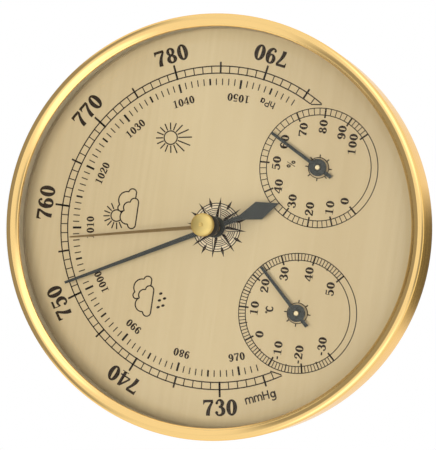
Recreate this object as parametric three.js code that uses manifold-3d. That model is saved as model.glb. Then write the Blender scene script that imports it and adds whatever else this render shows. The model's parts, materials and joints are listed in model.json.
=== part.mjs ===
// Wall weather station: an aneroid barometer with a hygrometer and a thermometer
// let into one round dial, under a domed glass with a set hand.
// Millimetres. Every piece is built with x to the right, y up and z out from the
// wall, and one outer group stands that frame upright, so that +Z is up and the
// dial faces -Y. The origin is the middle of the flat back face.

import * as THREE from 'three';
import { mergeVertices } from 'three/addons/utils/BufferGeometryUtils.js';
import Module from 'manifold-3d';

const wasm = await Module();
wasm.setup();

// Fits
const SEAT_GAP = 0.3; // between pieces that lie on each other
const RUN_GAP = 0.2; // round pivots, stems and fasteners in their holes

// Case, bezel and glass
const CASE_DIAMETER = 128; // over the bezel
const BEZEL_SHEET = 1.0;
const BEZEL_WIDTH = 3.8; // of the half-round rim, seen from the front
const BEZEL_RISE = 9.4; // top of the rim above the dial face
const BEAD_HEIGHT = 2.8; // of the rounded part of the rim
const SKIRT_BACK = 13.0; // back edge of the bezel's skirt, above the wall
const STOP_RIB = 0.7; // round the pot, where the skirt's edge stops
const STOP_WIDTH = 1.2;
const POT_FLOOR = 2.2;
const POT_WALL = 2.0;
const RIM_WALL = 1.2; // of the pot's thinner front rim
const BACK_ROUND = 5.8; // rounded back corner of the pot
const FLOOR_FILLET = 3.0;
const LEDGE_WIDTH = 2.4; // inside the pot, carries the dial
const LEDGE_EDGE = 0.8;
const SPACER_HEIGHT = 0.6;
const GLASS_THICKNESS = 1.6;
const GLASS_CROWN = 9.5; // rise of the dome from its edge
const DIAL_THICKNESS = 0.8;

// Back of the case
const KEYHOLE_R = 4.5; // round entry for a wall screw's head
const KEYHOLE_SLOT = 4.6; // width of the neck
const KEYHOLE_DROP = 7.5; // from the entry to the end of the neck
const KEYHOLE_MARGIN = 5.9; // neck to the pot's bore
const VENT_COUNT = 16; // places on the circle, less those round the keyhole
const VENT_MARGIN = 10.7; // vents to the pot's bore
const VENT_LENGTH = 10;
const VENT_WIDTH = 2.0;
const HANGER_HALF = 9.5; // half width of the hanger plate round the keyhole
const HANGER_SHEET = 1.2;
const HANGER_Z = 0.8; // back of the plate above the wall
const HANGER_DROP = 1.5; // centres of its round ends under and over the entry's
const HANGER_RISE = 3.0;
const HANGER_SEAT = 2.4; // rim of the plate that lies on the pot
const RIVET_R = 0.7;
const RIVET_HEAD_R = 1.1;
const RIVET_HEAD = 0.3;
const ACCESS_R = 3.0; // way in to the calibrating screw
const GROMMET_R = 7.7; // soft ring round that way in
const BOSS_HEIGHT = 1.2;
const BOSS_R = 4.0;

// Fasteners
const SCREW_R = 1.2;
const SCREW_HEAD_R = 2.4;
const SCREW_HEAD = 0.9;
const SCREW_SLOT = 0.6;
const SCREW_SINK = 0.4; // heads in the back lie this far under the face
const TAP_DEPTH = 2.4; // length of a screw in its pillar

// Barometer scale and gear train
const SCALE_LOW = 724; // mmHg at the ends of the scale
const SCALE_HIGH = 796;
const SCALE_TOP = 760; // reading at the top of the dial
const DEGREES_PER_MMHG = 10 / 3;
const REST_READING = 751.6;
const SET_READING = 756.4;
const GEAR_MODULE = 0.5;
const PINION_TEETH = 10;
const SECTOR_TEETH = 80; // of the whole wheel that the sector is cut from
const PRESSURE_ANGLE = 20;
const PINION_ADDENDUM = 0.9; // in modules
const SECTOR_ADDENDUM = 0.6;
const ROOT_CLEARANCE = 0.25;
const TOOTH_THINNING = 0.1; // off each tooth, for backlash
const SECTOR_FLARE_ANGLE = 60; // degrees from its last tooth round to the hub

// Movement
const PLATE = 1.0; // movement plates
const CAPSULE_R = 18;
const CAPSULE_HEIGHT = 3.6; // with the pointer at the top of the dial
const CAPSULE_BOSS_R = 3.6;
const CAPSULE_WAVES = 4;
const WAVE_DEPTH = 0.5;
const PILLAR_R = 1.9;
const PILLAR_MARGIN = 2.5; // pillar centres outside the capsule
const TENON_R = 1.0;
const BRIDGE_CLEARANCE = 1.2; // over the capsule
const BRIDGE_WIDTH = 13;
const ROCKER_RISE = 1.9; // rocker axis above the bridge
const ROCKER_SETBACK = 3.2; // rocker axis below the sector's axis
const LIFT_ARM = 5.0; // rocker axis to capsule post
const FINGER = 4.5; // rocker axis to finger tip
const FINGER_THICKNESS = 0.8;
const FINGER_WIDTH = 1.6;
const ROCKER_HUB_R = 1.4;
const EAR_X = 6.0;
const EAR = 1.0;
const PIN_ARM = 2.8; // sector axis to its drive pin
const PIN_R = 0.5;
const PIN_LENGTH = 1.5;
const SECTOR_PLATE = 1.2;
const SECTOR_HUB_R = 4.2;
const SECTOR_HEADROOM = 0.7; // finger tip to sector
const BAR_CLEARANCE = 1.1; // sector to top bar
const BAR_WIDTH = 8;
const ARBOR_R = 0.7;
const POST_R = 0.9;
const HAIRSPRING_R = 5.2;
const HAIRSPRING_TURNS = 5;
const HAIRSPRING_STRIP = 0.22;
const HAIRSPRING_WIDTH = 1.0;
const COLLET_R = 1.3;
const HEADROOM = 1.3; // over the top bar's screws, under the dial

// Pointers, with blades given by their half widths
const HAND_SHEET = 0.4;
const POINTER_REACH = 49.6;
const POINTER_ROOT = 0.8;
const POINTER_TIP = 0.38;
const POINTER_TAIL = 20.8;
const POINTER_HUB_R = 3.2;
const POINTER_RISE = 2.7; // above the dial face
const TAIL_NECK = 8.5; // where the tail's diamond begins
const TAIL_NECK_HALF = 0.75;
const TAIL_SHOULDER = 14.4; // where it is widest
const TAIL_HALF_WIDTH = 2.8;
const SET_HAND_REACH = 44.8;
const SET_HAND_ROOT = 0.6;
const SET_HAND_TIP = 0.25;
const SET_HAND_HUB_R = 3.0;
const SET_TIP_GAP = 0.8; // under the glass

// Set knob
const STEM_R = 1.2;
const GLASS_BUSH_R = 2.2;
const FLANGE = 0.7;
const FLANGE_R = 3.4;
const KNOB_R = 3.45;
const KNOB_NECK_R = 1.5;
const KNOB_NECK = 3.9;
const KNOB_FLARE = 1.3; // from the neck out to the head
const KNOB_EDGE = 0.9; // straight edge of the head
const KNOB_DOME = 1.9;
const WASHER_RISE = 0.5;
const COLLAR_HEIGHT = 0.9;

// Hygrometer and thermometer
const SUB_X = 22.0;
const SUB_Y = -28.3;
const SUB_POINTER_REACH = 17.7;
const SUB_POINTER_ROOT = 0.55;
const SUB_POINTER_TIP = 0.42;
const SUB_POINTER_TAIL = 5.0;
const SUB_HUB_R = 2.6;
const SUB_HUB = 0.8;
const SUB_BUSH_R = 1.9;
const SUB_FLANGE_R = 2.4;
const SUB_FLANGE = 0.5;
const NUT_R = 3.4;
const NUT = 1.4;
const BRACKET_SHEET = 0.8;
const BRACKET_WIDTH = 9;
const COIL_R = 7.5;
const COIL_CLEARANCE = 1.4; // before and behind the coil
const COIL_CORE_R = 1.4;
const THERMO_COIL = { width: 3.0, turns: 5, strip: 0.4, sense: 1 };
const HYGRO_COIL = { width: 4.0, turns: 4, strip: 0.5, sense: -1 };
const THERMO_ANGLE = -43.7; // degrees from the top, anticlockwise positive
const HYGRO_ANGLE = -28.7;

// Radii, from the outside in
const BEZEL_R = CASE_DIAMETER / 2;
const OPENING_R = BEZEL_R - BEZEL_WIDTH;
const POT_R = BEZEL_R - BEZEL_SHEET - SEAT_GAP;
const RIM_BORE = POT_R - RIM_WALL;
const POT_BORE = POT_R - POT_WALL;
const GLASS_R = RIM_BORE - SEAT_GAP;
const LEDGE_R = POT_BORE - LEDGE_WIDTH;
const KEYHOLE_Y = POT_BORE - KEYHOLE_MARGIN - KEYHOLE_SLOT / 2 - KEYHOLE_DROP;
const RIVET_X = [-1, 1].map((side) => side * (HANGER_HALF - HANGER_SEAT / 2));
const VENT_CIRCLE = POT_BORE - VENT_MARGIN - VENT_LENGTH / 2;

// Gear sizes, and the plan of the movement from the pointer's axis upwards
const GEAR_RATIO = SECTOR_TEETH / PINION_TEETH;
const SECTOR_Y = (GEAR_MODULE * (SECTOR_TEETH + PINION_TEETH)) / 2;
const ROCKER_Y = SECTOR_Y - ROCKER_SETBACK;
const CAPSULE_Y = ROCKER_Y - LIFT_ARM;
const PILLAR_CIRCLE = CAPSULE_R + PILLAR_MARGIN;
const STUD_Y = -HAIRSPRING_R - SEAT_GAP - PIN_R;
const UPPER_PILLAR_LOW_Y = STUD_Y - PIN_R - 2 * SEAT_GAP - PILLAR_R;
const UPPER_PILLAR_HIGH_Y = SECTOR_Y + SECTOR_HUB_R + 2 * SEAT_GAP + PILLAR_R;

// How the train stands at the rest reading
const POINTER_TURN = radians((SCALE_TOP - REST_READING) * DEGREES_PER_MMHG);
const SET_TURN = radians((SCALE_TOP - SET_READING) * DEGREES_PER_MMHG);
const SECTOR_TURN = -POINTER_TURN / GEAR_RATIO;
const SECTOR_SWING = radians(((SCALE_HIGH - SCALE_LOW) / 2) * DEGREES_PER_MMHG) / GEAR_RATIO;
const ROCKER_TURN = (-SECTOR_TURN * PIN_ARM) / FINGER;
const CAPSULE_LIFT = LIFT_ARM * Math.sin(ROCKER_TURN);

// Levels, from the wall out
const BOSS_TOP = POT_FLOOR + BOSS_HEIGHT;
const BASE_Z = BOSS_TOP + SEAT_GAP;
const BASE_TOP = BASE_Z + PLATE;
const CAPSULE_Z = BASE_TOP + SEAT_GAP;
const CAPSULE_TOP = CAPSULE_Z + CAPSULE_HEIGHT;
const BRIDGE_Z = CAPSULE_TOP + BRIDGE_CLEARANCE;
const BRIDGE_TOP = BRIDGE_Z + PLATE;
const ROCKER_Z = BRIDGE_TOP + ROCKER_RISE;
const SECTOR_Z = ROCKER_Z + FINGER + SECTOR_HEADROOM;
const SECTOR_TOP = SECTOR_Z + SECTOR_PLATE;
const BAR_Z = SECTOR_TOP + BAR_CLEARANCE;
const BAR_TOP = BAR_Z + PLATE;
const DIAL_BACK = BAR_TOP + SEAT_GAP + SCREW_HEAD + HEADROOM;
const DIAL_FACE = DIAL_BACK + DIAL_THICKNESS;
const LEDGE_Z = DIAL_BACK - SEAT_GAP;
const SPACER_Z = DIAL_FACE + SEAT_GAP;
const GLASS_EDGE = SPACER_Z + SPACER_HEIGHT + SEAT_GAP;
const GLASS_APEX = GLASS_EDGE + GLASS_CROWN;
const LIP_Z = GLASS_EDGE + GLASS_THICKNESS + SEAT_GAP;
const BEZEL_TOP = DIAL_FACE + BEZEL_RISE;
const POINTER_Z = DIAL_FACE + POINTER_RISE;
const HAIRSPRING_Z = BRIDGE_TOP + SCREW_HEAD + 2 * SEAT_GAP + HAIRSPRING_WIDTH;
const ARBOR_TIP = POINTER_Z + HAND_SHEET + COLLAR_HEIGHT + SEAT_GAP;
const BUSH_TOP = GLASS_APEX + GLASS_THICKNESS + SEAT_GAP + FLANGE;
const KNOB_Z = BUSH_TOP + SEAT_GAP;
const WASHER_Z = GLASS_APEX - SEAT_GAP - WASHER_RISE - HAND_SHEET;
const SET_HAND_Z = WASHER_Z - SEAT_GAP - HAND_SHEET;
const SET_COLLAR_Z = SET_HAND_Z - SEAT_GAP - COLLAR_HEIGHT;
const SUB_POINTER_Z = DIAL_FACE + SEAT_GAP + SUB_FLANGE + SEAT_GAP;
const SUB_TIP = SUB_POINTER_Z + SUB_HUB + SEAT_GAP;
const BRACKET_TOP = DIAL_BACK - SEAT_GAP;
const NUT_TOP = BRACKET_TOP - BRACKET_SHEET - SEAT_GAP;
const SUB_BUSH_END = NUT_TOP - NUT - SEAT_GAP;
const COIL_TOP = SUB_BUSH_END - COIL_CLEARANCE;

// Facets round a turn
const WIDE_FACETS = 48;
const SMALL_FACETS = 20;
const FINE_FACETS = 10;

function radians(degrees) {
  return THREE.MathUtils.degToRad(degrees);
}

// Closed solid of a three.js geometry, with its poles and seams welded
function toSolid(geometry) {
  const bare = geometry.clone();
  bare.deleteAttribute('normal');
  bare.deleteAttribute('uv');
  const welded = mergeVertices(bare);
  const corners = welded.index.array;
  const triangles = [];
  for (let i = 0; i < corners.length; i += 3) {
    const [a, b, c] = corners.subarray(i, i + 3);
    if (a !== b && b !== c && c !== a) triangles.push(a, b, c);
  }
  const vertProperties = new Float32Array(welded.attributes.position.array);
  const triVerts = new Uint32Array(triangles);
  return new wasm.Manifold(new wasm.Mesh({ numProp: 3, vertProperties, triVerts }));
}

function toGeometry(body) {
  const { vertProperties, triVerts } = body.getMesh();
  const geometry = new THREE.BufferGeometry();
  geometry.setAttribute('position', new THREE.BufferAttribute(vertProperties, 3));
  geometry.setIndex(new THREE.BufferAttribute(triVerts, 1));
  return geometry;
}

function join(first, ...others) {
  const whole = others.reduce((sum, geometry) => sum.add(toSolid(geometry)), toSolid(first));
  return toGeometry(whole);
}

function cut(geometry, ...tools) {
  const left = tools.reduce((rest, tool) => rest.subtract(toSolid(tool)), toSolid(geometry));
  return toGeometry(left);
}

// Solid of revolution about z. The profile of [radius, z] points runs out along
// the bottom, up the outside and back in along the top.
function turned(profile, facets = SMALL_FACETS) {
  const points = profile.map(([r, z]) => new THREE.Vector2(r, z));
  return new THREE.LatheGeometry(points, facets).rotateX(Math.PI / 2);
}

function turnedRing(profile, facets = SMALL_FACETS) {
  return turned([...profile, profile[0]], facets);
}

function rod(radius, low, high, facets = FINE_FACETS) {
  return turned([[0, low], [radius, low], [radius, high], [0, high]], facets);
}

function tube(bore, radius, low, high, facets = SMALL_FACETS) {
  return turnedRing([[bore, low], [radius, low], [radius, high], [bore, high]], facets);
}

// Points of an elliptical arc, from one angle to another in degrees
function arc([x, y], [rx, ry], from, to, steps) {
  return Array.from({ length: steps + 1 }, (_, i) => {
    const angle = radians(from + ((to - from) * i) / steps);
    return [x + rx * Math.cos(angle), y + ry * Math.sin(angle)];
  });
}

function polar(radius, angle) {
  return [radius * Math.cos(angle), radius * Math.sin(angle)];
}

function outline(points) {
  return new THREE.Shape(points.map(([x, y]) => new THREE.Vector2(x, y)));
}

function roundOutline(radius, x = 0, y = 0, facets = FINE_FACETS) {
  return outline(arc([x, y], [radius, radius], 0, 360, facets).slice(0, -1));
}

// Slot with round ends, lying along x
function slotOutline(length, width, steps = 6) {
  const half = (length - width) / 2;
  const r = width / 2;
  return outline([
    ...arc([half, 0], [r, r], -90, 90, steps),
    ...arc([-half, 0], [r, r], 90, 270, steps),
  ]);
}

function plate(shape, low, thickness) {
  const options = { depth: thickness, bevelEnabled: false };
  return new THREE.ExtrudeGeometry(shape, options).translate(0, 0, low);
}

// Plate whose outline is drawn in y and z, with its thickness along x
function sidePlate(shape, low, thickness) {
  const turn = new THREE.Matrix4().makeBasis(
    new THREE.Vector3(0, 1, 0),
    new THREE.Vector3(0, 0, 1),
    new THREE.Vector3(1, 0, 0),
  );
  return plate(shape, low, thickness).applyMatrix4(turn);
}

function crossRod(radius, low, high) {
  return sidePlate(roundOutline(radius), low, high - low);
}

// Flat spiral strip from an inner to an outer radius, ending at the bottom
function spiralOutline(inner, outer, turns, strip, sense) {
  const stepsPerTurn = 14;
  const steps = Math.round(turns * stepsPerTurn);
  const side = (offset) => Array.from({ length: steps + 1 }, (_, i) => {
    const share = i / steps;
    const angle = -Math.PI / 2 + sense * 2 * Math.PI * turns * (share - 1);
    return polar(inner + (outer - inner) * share + offset, angle);
  });
  return outline([...side(strip / 2), ...side(-strip / 2).reverse()]);
}

const upright = new THREE.Group();
upright.rotation.x = Math.PI / 2;

function piece(name, geometry, finish, parent = upright) {
  const material = new THREE.MeshStandardMaterial(finish);
  const mesh = new THREE.Mesh(toGeometry(toSolid(geometry)), material);
  mesh.name = name;
  parent.add(mesh);
  return mesh;
}

function stand(x, y, turn = 0, parent = upright) {
  const group = new THREE.Group();
  group.position.set(x, y, 0);
  group.rotation.z = turn;
  parent.add(group);
  return group;
}

// Finishes
const GOLD = { color: 0xe8bf6a, roughness: 0.22, metalness: 1.0 };
const BRASS = { color: 0xd9b25f, roughness: 0.35, metalness: 1.0 };
const STEEL = { color: 0xa9abad, roughness: 0.35, metalness: 1.0 };
const SPRING_BRONZE = { color: 0xb9844e, roughness: 0.4, metalness: 1.0 };
const BIMETAL = { color: 0x8c8880, roughness: 0.4, metalness: 1.0 };
const BLACK_PLASTIC = { color: 0x17181a, roughness: 0.6, metalness: 0.0 };
const DIAL_GOLD = { color: 0xc8b188, roughness: 0.45, metalness: 0.6 };
const POINTER_BLACK = { color: 0x33383a, roughness: 0.5, metalness: 0.3 };
const CLEAR = { color: 0xffffff, roughness: 0.03, metalness: 0.0, transparent: true, opacity: 0.2 };

// Three places on the pillar circle round the capsule
function pillarCircle(firstAngle) {
  return [0, 120, 240].map((step) => {
    const [x, y] = polar(PILLAR_CIRCLE, radians(firstAngle + step));
    return [x, y + CAPSULE_Y];
  });
}
const PILLAR_POINTS = pillarCircle(90);
const CASE_SCREW_POINTS = pillarCircle(30);

// Case

function keyholeOutline() {
  const half = KEYHOLE_SLOT / 2;
  const spread = THREE.MathUtils.radToDeg(Math.asin(half / KEYHOLE_R));
  const entry = arc([0, 0], [KEYHOLE_R, KEYHOLE_R], 90 + spread, 450 - spread, SMALL_FACETS);
  const end = arc([0, KEYHOLE_DROP], [half, half], 0, 180, 6);
  return outline([...entry, ...end]);
}

// Long round plate round the keyhole, drawn in from its edge
function hangerOutline(inset = 0) {
  const half = HANGER_HALF - inset;
  const [low, high] = [KEYHOLE_Y - HANGER_DROP, KEYHOLE_Y + HANGER_RISE];
  return outline([
    ...arc([0, high], [half, half], 0, 180, 8),
    ...arc([0, low], [half, half], 180, 360, 8),
  ]);
}

function vents(low, depth) {
  const step = (2 * Math.PI) / VENT_COUNT;
  const angles = Array.from({ length: VENT_COUNT }, (_, i) => Math.PI / 2 + i * step);
  const clearOfKeyhole = angles.slice(2, -1);
  return clearOfKeyhole.map((angle) => plate(slotOutline(VENT_LENGTH, VENT_WIDTH, 3), low, depth)
    .translate(VENT_CIRCLE, 0, 0)
    .rotateZ(angle));
}

function casePot() {
  const rimTop = LIP_Z - SEAT_GAP;
  const backCorner = arc(
    [POT_R - BACK_ROUND, BACK_ROUND], [BACK_ROUND, BACK_ROUND], -90, 0, 4,
  );
  const stopTop = SKIRT_BACK - SEAT_GAP;
  const shell = turned([
    [0, 0],
    ...backCorner,
    [POT_R, stopTop - STOP_WIDTH],
    [POT_R + STOP_RIB, stopTop - STOP_WIDTH],
    [POT_R + STOP_RIB, stopTop],
    [POT_R, stopTop],
    [POT_R, rimTop],
    [RIM_BORE, rimTop],
    [RIM_BORE, LEDGE_Z],
    [LEDGE_R, LEDGE_Z],
    [LEDGE_R, LEDGE_Z - LEDGE_EDGE],
    [POT_BORE, LEDGE_Z - LEDGE_EDGE - LEDGE_WIDTH],
    [POT_BORE, POT_FLOOR + FLOOR_FILLET],
    [POT_BORE - FLOOR_FILLET, POT_FLOOR],
    [0, POT_FLOOR],
  ], WIDE_FACETS);
  const bosses = CASE_SCREW_POINTS.map(([x, y]) => rod(BOSS_R, POT_FLOOR / 2, BOSS_TOP, SMALL_FACETS)
    .translate(x, y, 0));
  const past = 1; // cutters reach this far past the faces
  const hole = SCREW_R + RUN_GAP;
  const sink = SCREW_HEAD_R + SEAT_GAP;
  const sinkFloor = SCREW_SINK + SCREW_HEAD + SEAT_GAP;
  const screwHoles = CASE_SCREW_POINTS.map(([x, y]) => turned([
    [0, -past], [sink, -past], [sink, sinkFloor],
    [hole, sinkFloor], [hole, BOSS_TOP + past], [0, BOSS_TOP + past],
  ]).translate(x, y, 0));
  const through = POT_FLOOR + 2 * past;
  const hangerPad = plate(hangerOutline(-POT_WALL), POT_FLOOR / 2, BOSS_TOP - POT_FLOOR / 2);
  const hangerPocket = plate(hangerOutline(-SEAT_GAP), -past, past + HANGER_Z + HANGER_SHEET + SEAT_GAP);
  return cut(
    join(shell, ...bosses, hangerPad),
    ...screwHoles,
    rod(GROMMET_R + SEAT_GAP, -past, POT_FLOOR + past, SMALL_FACETS).translate(0, CAPSULE_Y, 0),
    hangerPocket,
    plate(hangerOutline(HANGER_SEAT), -past, BOSS_TOP + 2 * past),
    ...RIVET_X.map((x) => rod(RIVET_R + RUN_GAP, -past, BOSS_TOP + past).translate(x, KEYHOLE_Y, 0)),
    ...vents(-past, through),
  );
}

// Steel plate let into the back, with the keyhole that the case hangs on
function hangerPlate() {
  const keyhole = plate(keyholeOutline(), 0, 2 * HANGER_SHEET).translate(0, KEYHOLE_Y, 0);
  const rivetHoles = RIVET_X.map((x) => rod(RIVET_R + RUN_GAP, 0, BOSS_TOP).translate(x, KEYHOLE_Y, 0));
  return cut(plate(hangerOutline(), HANGER_Z, HANGER_SHEET), keyhole, ...rivetHoles);
}

// Rivet with a flat head on the plate and a spread end inside the pot
function rivet() {
  const headTop = HANGER_Z - SEAT_GAP;
  const spread = BOSS_TOP + SEAT_GAP;
  return turned([
    [0, headTop - RIVET_HEAD], [RIVET_HEAD_R, headTop - RIVET_HEAD], [RIVET_HEAD_R, headTop],
    [RIVET_R, headTop], [RIVET_R, spread], [RIVET_HEAD_R, spread],
    [RIVET_HEAD_R, spread + RIVET_HEAD], [0, spread + RIVET_HEAD],
  ], FINE_FACETS);
}

function bezel() {
  const centre = BEZEL_R - BEZEL_WIDTH / 2;
  const half = BEZEL_WIDTH / 2;
  const springing = BEZEL_TOP - BEAD_HEIGHT;
  const inner = [half - BEZEL_SHEET, BEAD_HEIGHT - BEZEL_SHEET];
  return turnedRing([
    [BEZEL_R, SKIRT_BACK],
    ...arc([centre, springing], [half, BEAD_HEIGHT], 0, 180, 8),
    [OPENING_R, LIP_Z],
    [OPENING_R + BEZEL_SHEET, LIP_Z],
    ...arc([centre, springing], inner, 180, 0, 3),
    [BEZEL_R - BEZEL_SHEET, SKIRT_BACK],
  ], WIDE_FACETS);
}

// Height of the glass's inner face at a radius: a shallow spherical dome
function glassInside(radius) {
  const sphere = (GLASS_R ** 2 + GLASS_CROWN ** 2) / (2 * GLASS_CROWN);
  return GLASS_APEX - sphere + Math.sqrt(sphere ** 2 - radius ** 2);
}

function frontGlass() {
  const steps = 6;
  const bore = GLASS_BUSH_R + RUN_GAP;
  const inside = Array.from({ length: steps + 1 }, (_, i) => {
    const radius = bore + ((GLASS_R - bore) * i) / steps;
    return [radius, glassInside(radius)];
  });
  const outside = inside.map(([radius, z]) => [radius, z + GLASS_THICKNESS]).reverse();
  return turnedRing([...inside, ...outside], WIDE_FACETS);
}

function dialPlate() {
  const shape = roundOutline(GLASS_R, 0, 0, WIDE_FACETS);
  shape.holes.push(roundOutline(2 * COLLET_R));
  for (const side of [-1, 1]) {
    shape.holes.push(roundOutline(SUB_BUSH_R + RUN_GAP, side * SUB_X, SUB_Y));
  }
  return plate(shape, DIAL_BACK, DIAL_THICKNESS);
}

// Cheese-head screw pointing down from the top of its head, with a slot
function screw(head, tip) {
  const under = head - SCREW_HEAD;
  const body = turned([
    [0, tip], [SCREW_R, tip], [SCREW_R, under], [SCREW_HEAD_R, under], [SCREW_HEAD_R, head], [0, head],
  ], FINE_FACETS);
  const slot = new THREE.BoxGeometry(3 * SCREW_HEAD_R, SCREW_SLOT, SCREW_HEAD);
  return cut(body, slot.translate(0, 0, head));
}

piece('case_pot', casePot(), BLACK_PLASTIC);
piece('hanger_plate', hangerPlate(), STEEL);
RIVET_X.forEach((x, i) => piece(`hanger_rivet_${i + 1}`, rivet(), STEEL, stand(x, KEYHOLE_Y)));
const grommet = tube(ACCESS_R, GROMMET_R, 0, POT_FLOOR);
piece('access_grommet', grommet, BLACK_PLASTIC, stand(0, CAPSULE_Y));
piece('bezel', bezel(), GOLD);
piece('dial_plate', dialPlate(), DIAL_GOLD);
piece('glass_spacer', tube(OPENING_R, GLASS_R, SPACER_Z, SPACER_Z + SPACER_HEIGHT, WIDE_FACETS), GOLD);
piece('front_glass', frontGlass(), CLEAR);

CASE_SCREW_POINTS.forEach(([x, y], i) => {
  const length = BASE_TOP + SCREW_R - SCREW_SINK;
  const backScrew = screw(length, 0).rotateY(Math.PI).translate(0, 0, length + SCREW_SINK);
  piece(`case_screw_${i + 1}`, backScrew, STEEL, stand(x, y));
});

// Fixed frame of the movement

function movementBase() {
  const shape = roundOutline(PILLAR_CIRCLE + BOSS_R, 0, 0, WIDE_FACETS);
  shape.holes.push(roundOutline(SCREW_R + RUN_GAP));
  for (const [x, y] of PILLAR_POINTS) {
    shape.holes.push(roundOutline(TENON_R + RUN_GAP, x, y - CAPSULE_Y));
  }
  for (const [x, y] of CASE_SCREW_POINTS) {
    shape.holes.push(roundOutline(SCREW_R + RUN_GAP, x, y - CAPSULE_Y));
  }
  return plate(shape, BASE_Z, PLATE);
}

// Pillar with a tenon below and a tapped hole above
function pillar(low, shoulder, high) {
  const hole = SCREW_R + RUN_GAP;
  const holeEnd = high - TAP_DEPTH - 2 * SEAT_GAP;
  return turned([
    [0, low], [TENON_R, low], [TENON_R, shoulder], [PILLAR_R, shoulder],
    [PILLAR_R, high], [hole, high], [hole, holeEnd], [0, holeEnd],
  ], FINE_FACETS);
}

function bridgePlate() {
  const [topPillar, ...sidePillars] = PILLAR_POINTS;
  const top = topPillar[1] + BOSS_R;
  const bottom = UPPER_PILLAR_LOW_Y - BOSS_R;
  const spine = plate(slotOutline(top - bottom, BRIDGE_WIDTH), BRIDGE_Z, PLATE)
    .rotateZ(Math.PI / 2)
    .translate(0, (top + bottom) / 2, 0);
  const sideLength = 2 * (Math.abs(sidePillars[0][0]) + BOSS_R);
  const arms = plate(slotOutline(sideLength, 2 * BOSS_R), BRIDGE_Z, PLATE)
    .translate(0, sidePillars[0][1], 0);
  const earHalf = ROCKER_HUB_R + SEAT_GAP;
  const ear = outline([
    [-earHalf, BRIDGE_Z - ROCKER_Z + PLATE / 2],
    [earHalf, BRIDGE_Z - ROCKER_Z + PLATE / 2],
    ...arc([0, 0], [earHalf, earHalf], 0, 180, 6),
  ]);
  const ears = [-1, 1].map((side) => sidePlate(ear, side * EAR_X - EAR / 2, EAR)
    .translate(0, ROCKER_Y, ROCKER_Z));
  const bearing = crossRod(ARBOR_R + RUN_GAP, -2 * EAR_X, 2 * EAR_X)
    .translate(0, ROCKER_Y, ROCKER_Z);
  const drill = (radius, x, y) => rod(radius, BRIDGE_Z - PLATE, BRIDGE_TOP + PLATE / 2)
    .translate(x, y, 0);
  return cut(
    join(spine, arms, ...ears),
    bearing,
    drill(ARBOR_R + RUN_GAP, 0, 0),
    drill(ARBOR_R + RUN_GAP, 0, SECTOR_Y),
    drill(2 * POST_R + SEAT_GAP, 0, CAPSULE_Y),
    drill(TENON_R + RUN_GAP, 0, UPPER_PILLAR_LOW_Y),
    drill(TENON_R + RUN_GAP, 0, UPPER_PILLAR_HIGH_Y),
    drill(PIN_R + RUN_GAP, 0, STUD_Y),
    ...PILLAR_POINTS.map(([x, y]) => drill(SCREW_R + RUN_GAP, x, y)),
  );
}

function topBar() {
  const top = UPPER_PILLAR_HIGH_Y + BOSS_R;
  const bottom = UPPER_PILLAR_LOW_Y - BOSS_R;
  const middle = (top + bottom) / 2;
  const shape = slotOutline(top - bottom, BAR_WIDTH);
  for (const [y, radius] of [
    [0, ARBOR_R], [SECTOR_Y, ARBOR_R], [UPPER_PILLAR_LOW_Y, SCREW_R], [UPPER_PILLAR_HIGH_Y, SCREW_R],
  ]) {
    shape.holes.push(roundOutline(radius + RUN_GAP, y - middle, 0));
  }
  return plate(shape, BAR_Z, PLATE).rotateZ(Math.PI / 2).translate(0, middle, 0);
}

piece('movement_base', movementBase(), BRASS, stand(0, CAPSULE_Y));
piece('bridge_plate', bridgePlate(), BRASS);
piece('top_bar', topBar(), BRASS);

PILLAR_POINTS.forEach(([x, y], i) => {
  const place = stand(x, y);
  piece(`base_pillar_${i + 1}`, pillar(BASE_Z, BASE_TOP + SEAT_GAP, BRIDGE_Z - SEAT_GAP), BRASS, place);
  const head = BRIDGE_TOP + SEAT_GAP + SCREW_HEAD;
  piece(`bridge_screw_${i + 1}`, screw(head, BRIDGE_Z - TAP_DEPTH), STEEL, place);
});

[UPPER_PILLAR_LOW_Y, UPPER_PILLAR_HIGH_Y].forEach((y, i) => {
  const place = stand(0, y);
  piece(`upper_pillar_${i + 1}`, pillar(BRIDGE_Z, BRIDGE_TOP + SEAT_GAP, BAR_Z - SEAT_GAP), BRASS, place);
  const head = BAR_TOP + SEAT_GAP + SCREW_HEAD;
  piece(`bar_screw_${i + 1}`, screw(head, BAR_Z - TAP_DEPTH), STEEL, place);
});

// Aneroid capsule, its post and the calibrating screw

// Corrugated vacuum capsule. Its top face stands higher at a lower pressure.
function aneroidCapsule() {
  const top = CAPSULE_TOP + CAPSULE_LIFT;
  const wave = (CAPSULE_R - CAPSULE_BOSS_R) / (2 * CAPSULE_WAVES);
  const rim = (CAPSULE_Z + CAPSULE_TOP) / 2;
  const face = (level, inward) => Array.from({ length: 2 * CAPSULE_WAVES }, (_, i) => (
    [CAPSULE_BOSS_R + i * wave, i % 2 ? level - inward * WAVE_DEPTH : level]
  ));
  return turned([
    [0, CAPSULE_Z],
    ...face(CAPSULE_Z, -1),
    [CAPSULE_R, rim],
    ...face(top, 1).reverse(),
    [0, top],
  ], WIDE_FACETS / 2);
}

piece('aneroid_capsule', aneroidCapsule(), SPRING_BRONZE, stand(0, CAPSULE_Y));
const postBase = CAPSULE_TOP + CAPSULE_LIFT + SEAT_GAP;
const postTop = ROCKER_Z - PLATE / 2 - SEAT_GAP + CAPSULE_LIFT;
const post = turned([
  [0, postBase], [2 * POST_R, postBase], [2 * POST_R, postBase + SEAT_GAP],
  [POST_R, postBase + SEAT_GAP], [POST_R, postTop], [0, postTop],
], FINE_FACETS);
piece('capsule_post', post, BRASS, stand(0, CAPSULE_Y));
const calibratingHead = BASE_Z - SEAT_GAP - SCREW_HEAD;
const calibratingLength = BASE_TOP - calibratingHead;
const calibratingScrew = screw(calibratingLength, 0)
  .rotateY(Math.PI)
  .translate(0, 0, calibratingLength + calibratingHead);
piece('calibrating_screw', calibratingScrew, STEEL, stand(0, CAPSULE_Y));

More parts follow.
